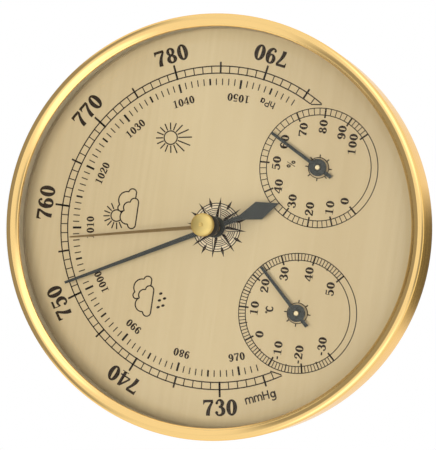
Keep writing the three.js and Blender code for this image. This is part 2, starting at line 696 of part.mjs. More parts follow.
// Rocker: the lift arm lies over the capsule's post, the finger drives the sector

function rockerLever() {
  const face = ROCKER_SETBACK - PIN_R - SEAT_GAP; // the finger's side towards the pin
  const root = ROCKER_HUB_R / 2;
  const bend = FINGER - PIN_LENGTH / 2 - SEAT_GAP;
  const finger = outline([
    [-root, 0], [root, 0], [face, bend], [face, FINGER],
    [face - FINGER_THICKNESS, FINGER], [face - FINGER_THICKNESS, bend + SEAT_GAP],
  ]);
  const half = PLATE / 2;
  const reach = LIFT_ARM + POST_R + SEAT_GAP;
  const arm = outline([[-reach, -half], [0, -half], [0, half], [-reach, half]]);
  const fingerLow = -PIN_ARM - FINGER_WIDTH / 2;
  const armHalf = POST_R + SEAT_GAP;
  const body = join(
    crossRod(ROCKER_HUB_R, fingerLow, armHalf),
    sidePlate(finger, fingerLow, FINGER_WIDTH),
    sidePlate(arm, -armHalf, 2 * armHalf),
  );
  return cut(body, crossRod(ARBOR_R, fingerLow - EAR, armHalf + EAR));
}

const rocker = new THREE.Group();
rocker.position.set(0, ROCKER_Y, ROCKER_Z);
rocker.rotation.x = -ROCKER_TURN;
upright.add(rocker);
piece('rocker_lever', rockerLever(), BRASS, rocker);
const rockerEnd = EAR_X + EAR;
piece('rocker_arbor', crossRod(ARBOR_R - RUN_GAP, -rockerEnd, rockerEnd), STEEL, rocker);

// Gear train

// Half the angle that a tooth fills at a radius, for involute flanks
function toothHalfAngle(teeth, radius) {
  const pitchR = (GEAR_MODULE * teeth) / 2;
  const baseR = pitchR * Math.cos(radians(PRESSURE_ANGLE));
  const involute = (r) => {
    const angle = Math.acos(Math.min(1, baseR / r));
    return Math.tan(angle) - angle;
  };
  const atPitch = Math.PI / (2 * teeth) - TOOTH_THINNING / 2 / pitchR;
  return atPitch + involute(pitchR) - involute(Math.max(radius, baseR));
}

// One tooth's points, from the root on one side to the root on the other
function toothPoints(teeth, addendum, matingAddendum, middle) {
  const pitchR = (GEAR_MODULE * teeth) / 2;
  const tip = pitchR + GEAR_MODULE * addendum;
  const root = pitchR - GEAR_MODULE * (matingAddendum + ROOT_CLEARANCE);
  const steps = 4;
  const radii = Array.from({ length: steps + 1 }, (_, i) => root + ((tip - root) * i) / steps);
  const rising = radii.map((r) => polar(r, middle - toothHalfAngle(teeth, r)));
  const falling = radii.map((r) => polar(r, middle + toothHalfAngle(teeth, r)));
  return [...rising, ...falling.reverse()];
}

function sectorOutline() {
  const pitch = (2 * Math.PI) / SECTOR_TEETH;
  const down = -Math.PI / 2;
  const sideTeeth = Math.ceil(SECTOR_SWING / pitch) + 1;
  const points = [];
  for (let i = -sideTeeth; i <= sideTeeth; i += 1) {
    points.push(...toothPoints(SECTOR_TEETH, SECTOR_ADDENDUM, PINION_ADDENDUM, down + i * pitch));
  }
  const half = (sideTeeth + 0.5) * pitch;
  const flare = THREE.MathUtils.radToDeg(half) + SECTOR_FLARE_ANGLE;
  points.push(...arc([0, 0], [SECTOR_HUB_R, SECTOR_HUB_R], -90 + flare, 270 - flare, FINE_FACETS));
  const shape = outline(points);
  const rim = (GEAR_MODULE * SECTOR_TEETH) / 2 - SECTOR_HUB_R;
  const spoke = THREE.MathUtils.radToDeg(half) / 2;
  const window = [
    ...arc([0, 0], [rim, rim], -90 - spoke, -90 + spoke, 6),
    ...arc([0, 0], [rim / 2, rim / 2], -90 + spoke / 2, -90 - spoke / 2, 3),
  ];
  shape.holes.push(outline(window), roundOutline(ARBOR_R + RUN_GAP));
  return shape;
}

function pinionArbor() {
  const points = [];
  const pitch = (2 * Math.PI) / PINION_TEETH;
  for (let i = 0; i < PINION_TEETH; i += 1) {
    const middle = Math.PI / 2 + (i + 0.5) * pitch;
    points.push(...toothPoints(PINION_TEETH, PINION_ADDENDUM, SECTOR_ADDENDUM, middle));
  }
  const overlap = BAR_CLEARANCE / 2;
  const leaves = plate(outline(points), SECTOR_Z - overlap, SECTOR_PLATE + 2 * overlap);
  const springTop = HAIRSPRING_Z + HAIRSPRING_WIDTH;
  const spindle = turned([
    [0, BRIDGE_Z], [ARBOR_R, BRIDGE_Z], [ARBOR_R, HAIRSPRING_Z], [COLLET_R, HAIRSPRING_Z],
    [COLLET_R, springTop], [ARBOR_R, springTop], [ARBOR_R, ARBOR_TIP], [0, ARBOR_TIP],
  ], FINE_FACETS);
  return join(leaves, spindle);
}

const sector = stand(0, SECTOR_Y, SECTOR_TURN);
const drivePin = rod(PIN_R, SECTOR_Z - PIN_LENGTH, SECTOR_Z + SECTOR_PLATE / 2)
  .translate(-PIN_ARM, 0, 0);
piece('sector', join(plate(sectorOutline(), SECTOR_Z, SECTOR_PLATE), drivePin), BRASS, sector);
piece('sector_arbor', rod(ARBOR_R, BRIDGE_Z, BAR_TOP), STEEL, sector);

const pointer = stand(0, 0, POINTER_TURN);
piece('pinion_arbor', pinionArbor(), STEEL, pointer);

const springInner = COLLET_R + SEAT_GAP;
const springShape = spiralOutline(springInner, HAIRSPRING_R, HAIRSPRING_TURNS, HAIRSPRING_STRIP, 1);
piece('hairspring', plate(springShape, HAIRSPRING_Z, HAIRSPRING_WIDTH), SPRING_BRONZE);
const studTop = HAIRSPRING_Z + HAIRSPRING_WIDTH + SEAT_GAP;
piece('hairspring_stud', rod(PIN_R, BRIDGE_Z, studTop), BRASS, stand(0, STUD_Y));

// Pointer and set hand, drawn pointing up

function mainPointer() {
  const blade = outline([
    [POINTER_ROOT, 0], [POINTER_TIP, POINTER_REACH], [-POINTER_TIP, POINTER_REACH], [-POINTER_ROOT, 0],
    [-TAIL_NECK_HALF, -TAIL_NECK], [-TAIL_HALF_WIDTH, -TAIL_SHOULDER], [0, -POINTER_TAIL],
    [TAIL_HALF_WIDTH, -TAIL_SHOULDER], [TAIL_NECK_HALF, -TAIL_NECK],
  ]);
  const hub = rod(POINTER_HUB_R, POINTER_Z, POINTER_Z + HAND_SHEET, SMALL_FACETS);
  const whole = join(plate(blade, POINTER_Z, HAND_SHEET), hub);
  return cut(whole, rod(COLLET_R + RUN_GAP, DIAL_FACE, ARBOR_TIP));
}

// Brass collet that grips the arbor and carries the pointer on its shoulder
function pointerCollet() {
  const bore = ARBOR_R + RUN_GAP;
  const shoulder = POINTER_Z - SEAT_GAP;
  const low = shoulder - COLLAR_HEIGHT;
  const high = POINTER_Z + HAND_SHEET + COLLAR_HEIGHT;
  return turnedRing([
    [bore, low], [2 * COLLET_R, low], [2 * COLLET_R, shoulder],
    [COLLET_R, shoulder], [COLLET_R, high], [bore, high],
  ], FINE_FACETS);
}

piece('main_pointer', mainPointer(), POINTER_BLACK, pointer);
piece('pointer_collet', pointerCollet(), BRASS, pointer);

function setKnob() {
  const waist = KNOB_Z + KNOB_NECK;
  const edge = waist + KNOB_FLARE;
  const stemEnd = SET_COLLAR_Z - SEAT_GAP;
  return turned([
    [0, stemEnd], [STEM_R, stemEnd], [STEM_R, KNOB_Z], [KNOB_NECK_R, KNOB_Z], [KNOB_NECK_R, waist],
    ...arc([KNOB_R, waist], [KNOB_R - KNOB_NECK_R, KNOB_FLARE], 170, 100, 3),
    [KNOB_R, edge],
    ...arc([0, edge + KNOB_EDGE], [KNOB_R, KNOB_DOME], 0, 90, 5),
  ]);
}

// Dished ring that presses the set hand's hub away from the glass
function springWasher() {
  const bore = STEM_R + RUN_GAP;
  const rim = SET_HAND_HUB_R + SEAT_GAP;
  const raised = WASHER_Z + WASHER_RISE;
  return turnedRing([
    [bore, WASHER_Z], [rim, raised], [rim, raised + HAND_SHEET], [bore, WASHER_Z + HAND_SHEET],
  ], FINE_FACETS);
}

// The blade falls from its hub towards the dial, to stay under the dome
function setHand() {
  const start = SET_HAND_HUB_R / 2;
  const fall = SET_HAND_Z + HAND_SHEET + SET_TIP_GAP - glassInside(SET_HAND_REACH);
  const flat = outline([
    [SET_HAND_ROOT, start], [SET_HAND_TIP, SET_HAND_REACH],
    [-SET_HAND_TIP, SET_HAND_REACH], [-SET_HAND_ROOT, start],
  ]);
  const blade = plate(flat, SET_HAND_Z, HAND_SHEET);
  const position = blade.attributes.position;
  for (let i = 0; i < position.count; i += 1) {
    const share = (position.getY(i) - start) / (SET_HAND_REACH - start);
    position.setZ(i, position.getZ(i) - fall * share);
  }
  const hub = rod(SET_HAND_HUB_R, SET_HAND_Z, SET_HAND_Z + HAND_SHEET, SMALL_FACETS);
  const hole = rod(STEM_R + RUN_GAP, SET_HAND_Z - HAND_SHEET, SET_HAND_Z + 2 * HAND_SHEET);
  return cut(join(hub, blade), hole);
}

const glassBush = turnedRing([
  [STEM_R + RUN_GAP, GLASS_APEX], [GLASS_BUSH_R, GLASS_APEX], [GLASS_BUSH_R, BUSH_TOP - FLANGE],
  [FLANGE_R, BUSH_TOP - FLANGE], [FLANGE_R, BUSH_TOP], [STEM_R + RUN_GAP, BUSH_TOP],
]);
piece('glass_bush', glassBush, BRASS);
const setGroup = stand(0, 0, SET_TURN);
piece('set_knob', setKnob(), GOLD, setGroup);
piece('spring_washer', springWasher(), SPRING_BRONZE, setGroup);
piece('set_hand', setHand(), BRASS, setGroup);
const setCollar = tube(
  STEM_R + RUN_GAP, 2 * STEM_R, SET_COLLAR_Z, SET_COLLAR_Z + COLLAR_HEIGHT, FINE_FACETS,
);
piece('set_collar', setCollar, BRASS, setGroup);

// Hygrometer and thermometer, each hung from the dial by its bush

function subPointer() {
  const blade = outline([
    [SUB_POINTER_ROOT, -SUB_POINTER_TAIL], [SUB_POINTER_TIP, SUB_POINTER_REACH],
    [-SUB_POINTER_TIP, SUB_POINTER_REACH], [-SUB_POINTER_ROOT, -SUB_POINTER_TAIL],
  ]);
  const hub = rod(SUB_HUB_R, SUB_POINTER_Z, SUB_POINTER_Z + SUB_HUB, SMALL_FACETS);
  const whole = join(hub, plate(blade, SUB_POINTER_Z, HAND_SHEET));
  return cut(whole, rod(ARBOR_R + RUN_GAP, DIAL_FACE, SUB_TIP));
}

function subBush() {
  const bore = ARBOR_R + RUN_GAP;
  const under = DIAL_FACE + SEAT_GAP;
  return turnedRing([
    [bore, SUB_BUSH_END], [SUB_BUSH_R, SUB_BUSH_END], [SUB_BUSH_R, under],
    [SUB_FLANGE_R, under], [SUB_FLANGE_R, under + SUB_FLANGE], [bore, under + SUB_FLANGE],
  ], FINE_FACETS);
}

function hexNut() {
  const shape = roundOutline(NUT_R, 0, 0, 6);
  shape.holes.push(roundOutline(SUB_BUSH_R + RUN_GAP));
  return plate(shape, NUT_TOP - NUT, NUT);
}

// Strip bent to a C: the front leg lies on the dial's back, the rear one holds the
// arbor's pivot and the web between them anchors the coil's outer end
function bracket(rear) {
  const web = -COIL_R - SEAT_GAP;
  const front = NUT_R + BRACKET_SHEET;
  const back = rear - BRACKET_SHEET;
  const section = outline([
    [front, BRACKET_TOP], [web - BRACKET_SHEET, BRACKET_TOP],
    [web - BRACKET_SHEET, back], [front, back], [front, rear], [web, rear],
    [web, BRACKET_TOP - BRACKET_SHEET], [front, BRACKET_TOP - BRACKET_SHEET],
  ]);
  return cut(
    sidePlate(section, -BRACKET_WIDTH / 2, BRACKET_WIDTH),
    rod(SUB_BUSH_R + RUN_GAP, NUT_TOP, DIAL_BACK),
    rod(ARBOR_R + RUN_GAP, back - BRACKET_SHEET, rear + BRACKET_SHEET),
  );
}

function subInstrument(name, x, turn, coil, coilFinish) {
  const place = stand(x, SUB_Y);
  const moving = stand(0, 0, radians(turn), place);
  const coilLow = COIL_TOP - coil.width;
  const rear = coilLow - COIL_CLEARANCE;
  const arborEnd = rear - BRACKET_SHEET;
  const arbor = turned([
    [0, arborEnd], [ARBOR_R, arborEnd], [ARBOR_R, coilLow], [COIL_CORE_R, coilLow],
    [COIL_CORE_R, COIL_TOP], [ARBOR_R, COIL_TOP], [ARBOR_R, SUB_TIP], [0, SUB_TIP],
  ], FINE_FACETS);
  const inner = COIL_CORE_R + SEAT_GAP + coil.strip / 2;
  const outer = COIL_R - coil.strip / 2;
  const spiral = spiralOutline(inner, outer, coil.turns, coil.strip, coil.sense);
  piece(`${name}_bush`, subBush(), BRASS, place);
  piece(`${name}_nut`, hexNut(), BRASS, place);
  piece(`${name}_bracket`, bracket(rear), STEEL, place);
  piece(`${name}_coil`, plate(spiral, coilLow, coil.width), coilFinish, place);
  piece(`${name}_arbor`, arbor, BRASS, moving);
  piece(`${name}_pointer`, subPointer(), POINTER_BLACK, moving);
}

subInstrument('thermo', -SUB_X, THERMO_ANGLE, THERMO_COIL, BIMETAL);
subInstrument('hygro', SUB_X, HYGRO_ANGLE, HYGRO_COIL, SPRING_BRONZE);

const weatherStation = new THREE.Group();
weatherStation.name = 'weather_station';
weatherStation.add(upright);

export default weatherStation;
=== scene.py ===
import json
import math
from itertools import groupby

import bmesh
import bpy
from mathutils import Matrix, Vector
from mathutils.geometry import tessellate_polygon


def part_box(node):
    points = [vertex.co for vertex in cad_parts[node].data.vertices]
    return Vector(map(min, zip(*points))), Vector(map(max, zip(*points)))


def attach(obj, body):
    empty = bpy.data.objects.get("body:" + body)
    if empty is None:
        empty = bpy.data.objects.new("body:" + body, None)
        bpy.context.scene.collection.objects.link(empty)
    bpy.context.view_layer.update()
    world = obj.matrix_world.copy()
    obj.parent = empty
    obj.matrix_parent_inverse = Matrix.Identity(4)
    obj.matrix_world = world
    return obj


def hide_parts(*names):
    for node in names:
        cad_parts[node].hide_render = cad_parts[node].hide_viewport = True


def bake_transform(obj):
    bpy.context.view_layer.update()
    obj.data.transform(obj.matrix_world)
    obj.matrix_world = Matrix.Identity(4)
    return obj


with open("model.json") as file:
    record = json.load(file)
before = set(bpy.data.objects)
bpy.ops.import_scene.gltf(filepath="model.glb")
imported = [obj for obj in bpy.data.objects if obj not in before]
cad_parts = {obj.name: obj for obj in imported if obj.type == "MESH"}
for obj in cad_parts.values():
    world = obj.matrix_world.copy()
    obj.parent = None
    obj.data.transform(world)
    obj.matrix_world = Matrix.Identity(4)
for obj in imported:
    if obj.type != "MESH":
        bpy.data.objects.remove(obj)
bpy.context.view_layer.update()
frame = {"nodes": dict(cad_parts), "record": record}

# Looks of a round wall weather station. Pieces are drawn in millimetres as the
# instrument hangs, with x to the right, y up and z out from the wall.

MM = 0.001
WIDE = 192  # segments round the rim, glass and pot
SMALL = 64  # segments round knob, hubs and screws
SEAT_GAP = 0.3  # between pieces that rest on each other
RUN_GAP = 0.2  # round what turns or passes through a hole
SHARP, CREASE = 40, 38  # degrees from which edges are eased, and shaded as sharp


def span(node):
    """Back level, front level and half width of a CAD node, in mm."""
    low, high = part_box(node)
    return -high.y / MM, -low.y / MM, (high.x - low.x) / 2 / MM


# Levels and radii of the case, taken from the frame
SKIRT_BACK, RIM_TOP, RIM_R = span("bezel")
DIAL_BACK, DIAL_FACE, DIAL_R = span("dial_plate")
SPACER_BACK, SPACER_TOP, SPACER_R = span("glass_spacer")
GLASS_EDGE, GLASS_TOP, GLASS_R = span("front_glass")
POT_BACK, POT_RIM, POT_STOP_R = span("case_pot")
HANGER_BACK, HANGER_TOP, HANGER_HALF = span("hanger_plate")
RIVET_BACK, RIVET_END, RIVET_HEAD_R = span("hanger_rivet_1")
GROMMET_BACK, GROMMET_TOP, GROMMET_R = span("access_grommet")
BUSH_BACK, BUSH_TOP, BUSH_FLANGE_R = span("glass_bush")
STEM_END, KNOB_TOP, KNOB_R = span("set_knob")
POINTER_BACK, POINTER_TOP, _ = span("main_pointer")
SUB_BACK, SUB_TOP, _ = span("thermo_pointer")
SET_HAND_TOP = span("set_hand")[1]
SCREW_SINK, SCREW_TIP, SCREW_HEAD_R = span("case_screw_3")
CAPSULE_BACK, CAPSULE_FRONT, CAPSULE_R = span("aneroid_capsule")

# Rim, glass and pot
RIM_WIDTH = 3.8
RIM_CREST = 1.7
RIM_BEAD = 1.5
RIM_SLOPE = 1.15
RIM_CURL = 0.7
RIM_SHEET = 1.0
RIM_EASE = 0.15
RIM_EDGE, RIM_EDGE_DROP, RIM_LIP = 0.35, 0.5, 0.6
# Sizes of the grey ring under the rim's curl, which is painted shade for the shadow in the gap there
SHADE_RING_INSET, SHADE_RING_DROP, SHADE_RING_EASE = 0.1, 1.55, 0.2
OPENING_R = RIM_R - RIM_WIDTH
GLASS_THICK = 1.6
GLASS_BORE = 2.4
POT_R = 62.7
POT_STOP = 1.2
POT_RIM_BORE = 61.5
POT_BORE = 60.7
POT_FLOOR = 2.2
BACK_ROUND = 5.8
LEDGE_R, LEDGE_EDGE, LEDGE_DEPTH, FLOOR_ROUND = 58.3, 0.8, 3.2, 3
BOSS_R, BOSS_TOP = 4.0, 3.4
CAPSULE_Y = 14.3
CAPSULE_BOSS_R, WAVE_WIDTH, WAVE_DEPTH = 3.6, 1.8, 0.5
SCREW_CIRCLE = 20.5
SCREW_R, SCREW_HEAD, SCREW_SLOT = 1.2, 0.9, 0.6
KEYHOLE_Y, KEYHOLE_R, KEYHOLE_NECK, KEYHOLE_DROP = 45.0, 4.5, 4.6, 7.5
HANGER_DROP, HANGER_RISE, HANGER_SEAT = 1.5, 3.0, 2.4
RIVET_X, RIVET_R, RIVET_HEAD = 8.3, 0.7, 0.3
VENT_CIRCLE, VENT_LENGTH, VENT_WIDTH = 45.0, 10.0, 2.0
ACCESS_R = 3.0

# Pointers, with turns in degrees anticlockwise from the top
POINTER_TURN, SET_TURN = 28.0, 12.0
THERMO_TURN, HYGRO_TURN = -43.7, -28.7
SUB_X, SUB_Y = 22.0, -28.3
SHEET = 0.4
POINTER_REACH, POINTER_TAIL, POINTER_ROOT, POINTER_TIP = 49.6, 20.8, 0.8, 0.38
TAIL_NECK, TAIL_NECK_HALF, TAIL_SHOULDER, TAIL_HALF = 8.5, 0.75, 14.4, 2.8
SET_START, SET_REACH, SET_ROOT, SET_TIP = 1.5, 44.8, 0.6, 0.25
SUB_REACH, SUB_TAIL, SUB_ROOT, SUB_TIP = 17.7, 5.0, 0.55, 0.42
HUB_R, HUB_BORE = 3.2, 1.5
SET_HUB_R, SET_HUB_BORE = 3.0, 1.4
SUB_HUB_R, SUB_HUB_BORE = 2.6, 0.9
DIAL_BORE, SUB_DIAL_BORE = 2.6, 2.1
STEM_R = 1.2
BUSH_R, BUSH_FLANGE = 2.2, 0.7

# Print on the dial
PRINT = 0.04
MMHG_TURN, HPA_TURN = 3.32, 2.485  # degrees for one unit
MMHG_TOP, HPA_TOP = 760, 1013.25
SUB_LEAN = 1.6  # degrees that the small scales are turned back
HUMIDITY_STEPS = (25.6, 24.1, 26.3, 29.6, 30.0, 30.5, 30.9, 29.2, 27.2, 21.9)
MMHG_INNER, MMHG_OUTER = 46.75, 48.9
HPA_INNER, HPA_OUTER = 43.1, 45.1
SUB_INNER, SUB_OUTER, SUB_LONG = 15.9, 17.95, 15.0
LINE, SUB_LINE, SYMBOL_LINE = .36, .28, .38
MMHG_FIGURE_R, MMHG_FIGURE = 54.3, 4.8
HPA_FIGURE_R, HPA_FIGURE = 39.55, 2.3
SUB_FIGURE, SUB_FIGURE_WIDE = 2.45, 1.18
ROSETTE_R, ROSE_R, ROSE_REACH = 3.1, 7.3, 9.3
SUN, LOW_SUN = (25.0, 18.2), (-.8, 31.5)


# Shapes as (points, faces), in mm

def arc(x, y, rx, ry, start, end, steps):
    turns = (math.radians(start + (end - start) * i / steps) for i in range(steps + 1))
    return [(x + rx * math.cos(t), y + ry * math.sin(t)) for t in turns]


def circle(x, y, rx, ry, steps=36):
    return arc(x, y, rx, ry, 0, 360, steps)[:-1]


def both_sides(right):
    return right + [(-x, y) for x, y in reversed(right)]


def lathe(profile, steps=SMALL, ring=False):
    """Turns (radius, level) points round z; a ring's profile closes on itself."""
    points, faces, rows = [], [], []
    for radius, level in profile:
        if radius < 1e-6:
            rows.append([len(points)] * steps)
            points.append((0.0, 0.0, level))
        else:
            rows.append(range(len(points), len(points) + steps))
            points += [(x, y, level) for x, y in circle(0, 0, radius, radius, steps)]
    pairs = list(zip(rows, rows[1:]))
    if ring:
        pairs.append((rows[-1], rows[0]))
    for low, high in pairs:
        for i in range(steps):
            j = (i + 1) % steps
            corners = dict.fromkeys((low[i], low[j], high[j], high[i]))
            if len(corners) > 2:
                faces.append(tuple(corners))
    return points, faces


def slab(loops, low, high):
    """Flat plate; the first loop is its outline and the others are holes."""
    flat = [Vector((x, y, 0)) for loop in loops for x, y in loop]
    count = len(flat)
    points = [(v.x, v.y, low) for v in flat] + [(v.x, v.y, high) for v in flat]
    faces = []
    for a, b, c in tessellate_polygon([[Vector((x, y, 0)) for x, y in loop] for loop in loops]):
        faces += [(a + count, b + count, c + count), (c, b, a)]
    start = 0
    for loop in loops:
        for i in range(len(loop)):
            a, b = start + i, start + (i + 1) % len(loop)
            faces.append((a, b, b + count, a + count))
        start += len(loop)
    return points, faces


def moved(shape, x=0.0, y=0.0, z=0.0, turn=0.0):
    """The shape turned anticlockwise about z, then shifted."""
    c, s = math.cos(math.radians(turn)), math.sin(math.radians(turn))
    points, faces = shape
    return [(c * px - s * py + x, s * px + c * py + y, pz + z) for px, py, pz in points], faces


def together(shapes):
    points, faces = [], []
    for more_points, more_faces in shapes:
        faces += [tuple(i + len(points) for i in face) for face in more_faces]
        points += more_points
    return points, faces


def facing_out(mesh):
    """The same mesh with its faces turned outwards."""
    work = bmesh.new()
    work.from_mesh(mesh)
    bmesh.ops.recalc_face_normals(work, faces=work.faces)
    work.to_mesh(mesh)
    work.free()
    return mesh


def mesh_of(shape):
    """Mesh in the frame: metres, with z up and the dial facing -y."""
    points, faces = shape
    mesh = bpy.data.meshes.new("shape")
    mesh.from_pydata([(x * MM, -z * MM, y * MM) for x, y, z in points], [], faces)
    return facing_out(mesh)


def in_scene(name, data):
    obj = bpy.data.objects.new(name, data)
    bpy.context.scene.collection.objects.link(obj)
    return obj


def stand_in(mesh):
    return in_scene("stand_in", mesh)


def settled(obj):
    """Plain mesh of an object with its modifiers, which is then taken away."""
    graph = bpy.context.evaluated_depsgraph_get()
    mesh = bpy.data.meshes.new_from_object(obj.evaluated_get(graph), depsgraph=graph)
    bpy.data.objects.remove(obj)
    return mesh


def carved(mesh, *tools, operation="DIFFERENCE"):
    for tool in tools:
        body, cutter = stand_in(mesh), stand_in(tool)
        boolean = body.modifiers.new("carve", "BOOLEAN")
        boolean.operation = operation
        boolean.solver = "EXACT"
        boolean.object = cutter
        mesh = settled(body)
        bpy.data.objects.remove(cutter)
    return mesh


def eased(mesh, width):
    """Mesh with its sharp edges rounded over."""
    body = stand_in(mesh)
    bevel = body.modifiers.new("ease", "BEVEL")
    bevel.width = width * MM
    bevel.segments = 3
    bevel.limit_method = "ANGLE"
    bevel.angle_limit = math.radians(SHARP)
    return settled(body)


def piece(name, meshes, material, body, stands_for=()):
    """Object of one or more meshes, riding on a CAD body if one is named, and shaded by angle."""
    work = bmesh.new()
    for mesh in meshes:
        work.from_mesh(mesh)
    for face in work.faces:
        face.smooth = True
        face.material_index = 0
    for edge in work.edges:
        edge.smooth = len(edge.link_faces) == 2 and edge.calc_face_angle() < math.radians(CREASE)
    mesh = bpy.data.meshes.new(name)
    work.to_mesh(mesh)
    work.free()
    mesh.materials.append(material)
    obj = in_scene(name, mesh)
    if body:
        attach(obj, body)
    if stands_for:
        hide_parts(*stands_for)
    return obj


# Node trees

def wire(tree, kind, inputs=None, **settings):
    """Adds a node, sets its options and feeds its inputs with values, sockets or nodes."""
    node = tree.nodes.new(kind)
    for key, value in settings.items():
        setattr(node, key, value)
    for key, value in (inputs or {}).items():
        if isinstance(value, bpy.types.Node):
            value = value.outputs[0]
        if isinstance(value, bpy.types.NodeSocket):
            tree.links.new(value, node.inputs[key])
        else:
            node.inputs[key].default_value = value
    return node


def maths(tree, operation, *values):
    return wire(tree, "ShaderNodeMath", dict(enumerate(values)), operation=operation)


def product(tree, a, b):
    return maths(tree, "MULTIPLY", a, b)


MARK_SIZES = ("First", "Step", "Inner", "Outer", "Width", "Swell Below")


def marks_round_a_centre():
    """Geometry tree that repeats a mark at even steps round a centre on the dial."""
    tree = bpy.data.node_groups.new("marks_round_a_centre", "GeometryNodeTree")
    kinds = {"Mark": "Object", "Count": "Int", "Centre": "Vector", "Material": "Material"}
    kinds.update(dict.fromkeys(MARK_SIZES, "Float"))
    for name, kind in kinds.items():
        tree.interface.new_socket(name, in_out="INPUT", socket_type="NodeSocket" + kind)
    tree.interface.new_socket("Geometry", in_out="OUTPUT", socket_type="NodeSocketGeometry")
    given = wire(tree, "NodeGroupInput").outputs
    index = wire(tree, "GeometryNodeInputIndex")
    degrees = maths(tree, "MULTIPLY_ADD", index, given["Step"], given["First"])
    turn = maths(tree, "RADIANS", degrees)
    across, up = maths(tree, "SINE", turn), maths(tree, "COSINE", turn)
    spoke = wire(tree, "ShaderNodeCombineXYZ", {"X": across, "Y": up})
    root = wire(tree, "ShaderNodeVectorMath", {0: spoke, "Scale": given["Inner"]}, operation="SCALE")
    spots = wire(tree, "GeometryNodePoints", {"Count": given["Count"], "Position": root})
    below = maths(tree, "MAXIMUM", product(tree, up, -1.0), 0.0)
    swell = product(tree, product(tree, below, below), given["Swell Below"])
    length = maths(tree, "ADD", maths(tree, "SUBTRACT", given["Outer"], given["Inner"]), swell)
    size = wire(tree, "ShaderNodeCombineXYZ", {"X": given["Width"], "Y": length, "Z": 1.0})
    lean = wire(tree, "ShaderNodeCombineXYZ", {"Z": product(tree, turn, -1.0)})
    mark = wire(tree, "GeometryNodeObjectInfo", {"Object": given["Mark"]})
    repeated = wire(tree, "GeometryNodeInstanceOnPoints", {
        "Points": spots, "Instance": mark.outputs["Geometry"], "Rotation": lean, "Scale": size,
    })
    real = wire(tree, "GeometryNodeRealizeInstances", {"Geometry": repeated})
    put = wire(tree, "GeometryNodeTransform", {"Geometry": real, "Translation": given["Centre"]})
    hung = wire(tree, "GeometryNodeTransform", {
        "Geometry": put, "Rotation": (math.pi / 2, 0, 0), "Scale": (MM, MM, MM),
    })
    inked = wire(tree, "GeometryNodeSetMaterial", {"Geometry": hung, "Material": given["Material"]})
    wire(tree, "NodeGroupOutput", {"Geometry": inked})
    return tree


MARKS = marks_round_a_centre()


def marks(mark, material, centre, count, first, step, inner, outer, width, swell=0.0):
    """Plain mesh of a unit mark, given as a shape, repeated by the tree."""
    points, faces = mark
    unit = bpy.data.meshes.new("mark")
    unit.from_pydata(points, [], faces)
    pattern, holder = stand_in(unit), stand_in(bpy.data.meshes.new("marks"))
    modifier = holder.modifiers.new("marks", "NODES")
    modifier.node_group = MARKS
    values = dict(zip(MARK_SIZES, map(float, (first, step, inner, outer, width, swell))))
    values.update(Mark=pattern, Count=count, Centre=centre, Material=material)
    for socket in MARKS.interface.items_tree:
        if socket.in_out == "INPUT":
            modifier[socket.identifier] = values[socket.name]
    mesh = settled(holder)
    bpy.data.objects.remove(pattern)
    return facing_out(mesh)


# Materials

def tone(red, green, blue):
    """Linear colour of a colour given on the 0 to 255 scale."""
    def linear(value):
        value /= 255
        return value / 12.92 if value <= 0.04045 else ((value + 0.055) / 1.055) ** 2.4
    return linear(red), linear(green), linear(blue), 1.0


def fresh(name):
    material = bpy.data.materials.new(name)
    material.use_nodes = True
    material.node_tree.nodes.clear()
    return material, material.node_tree


def grain(tree, scale, stretch=(1, 1, 1), detail=4.0, turned=False):
    """Noise over the object in metres, or one that only varies along a turned profile."""
    where = wire(tree, "ShaderNodeTexCoord").outputs["Object"]
    if turned:
        split = wire(tree, "ShaderNodeSeparateXYZ", {0: where}).outputs
        square = maths(tree, "MULTIPLY_ADD", split[0], split[0], maths(tree, "POWER", split[2], 2.0))
        where = wire(tree, "ShaderNodeCombineXYZ", {"X": maths(tree, "SQRT", square), "Y": split[1]})
    spread = wire(tree, "ShaderNodeMapping", {"Vector": where, "Scale": stretch})
    noise = wire(tree, "ShaderNodeTexNoise", {"Vector": spread, "Scale": scale, "Detail": detail})
    return noise.outputs["Fac"]


def between(tree, share, low, high):
    """A value or colour that goes from low to high as share goes over its middle range."""
    if isinstance(low, tuple):
        blend = wire(tree, "ShaderNodeValToRGB", {"Fac": share})
        ends = blend.color_ramp.elements
        ends[0].position, ends[1].position = 0.3, 0.7
        ends[0].color, ends[1].color = low, high
        return blend.outputs["Color"]
    return wire(tree, "ShaderNodeMapRange", {
        "Value": share, "From Min": 0.3, "From Max": 0.7, "To Min": low, "To Max": high,
    })


def shaded(colour, share):
    return tuple(min(1.0, channel * share) for channel in colour[:3]) + (1.0,)


def finish(name, colour, metallic, rough, scale, tint=0.1, bump=0.1, depth=0.00002,
           stretch=(1, 1, 1), turned=False, edge=(1.0, 1.0, 1.0, 1.0), gloss=0.5):
    """Surface with a fine grain in its colour, its shine and its relief."""
    material, tree = fresh(name)
    fine = grain(tree, scale, stretch, turned=turned)
    broad = grain(tree, scale / 9, stretch, detail=2.0, turned=turned)
    relief = wire(tree, "ShaderNodeBump", {"Strength": bump, "Distance": depth, "Height": fine})
    skin = wire(tree, "ShaderNodeBsdfPrincipled", {
        "Base Color": between(tree, broad, shaded(colour, 1 - tint), shaded(colour, 1 + tint)),
        "Metallic": metallic, "Roughness": between(tree, fine, rough[0], rough[1]),
        "Normal": relief, "Specular Tint": edge, "Specular IOR Level": gloss,
    })
    wire(tree, "ShaderNodeOutputMaterial", {"Surface": skin})
    return material


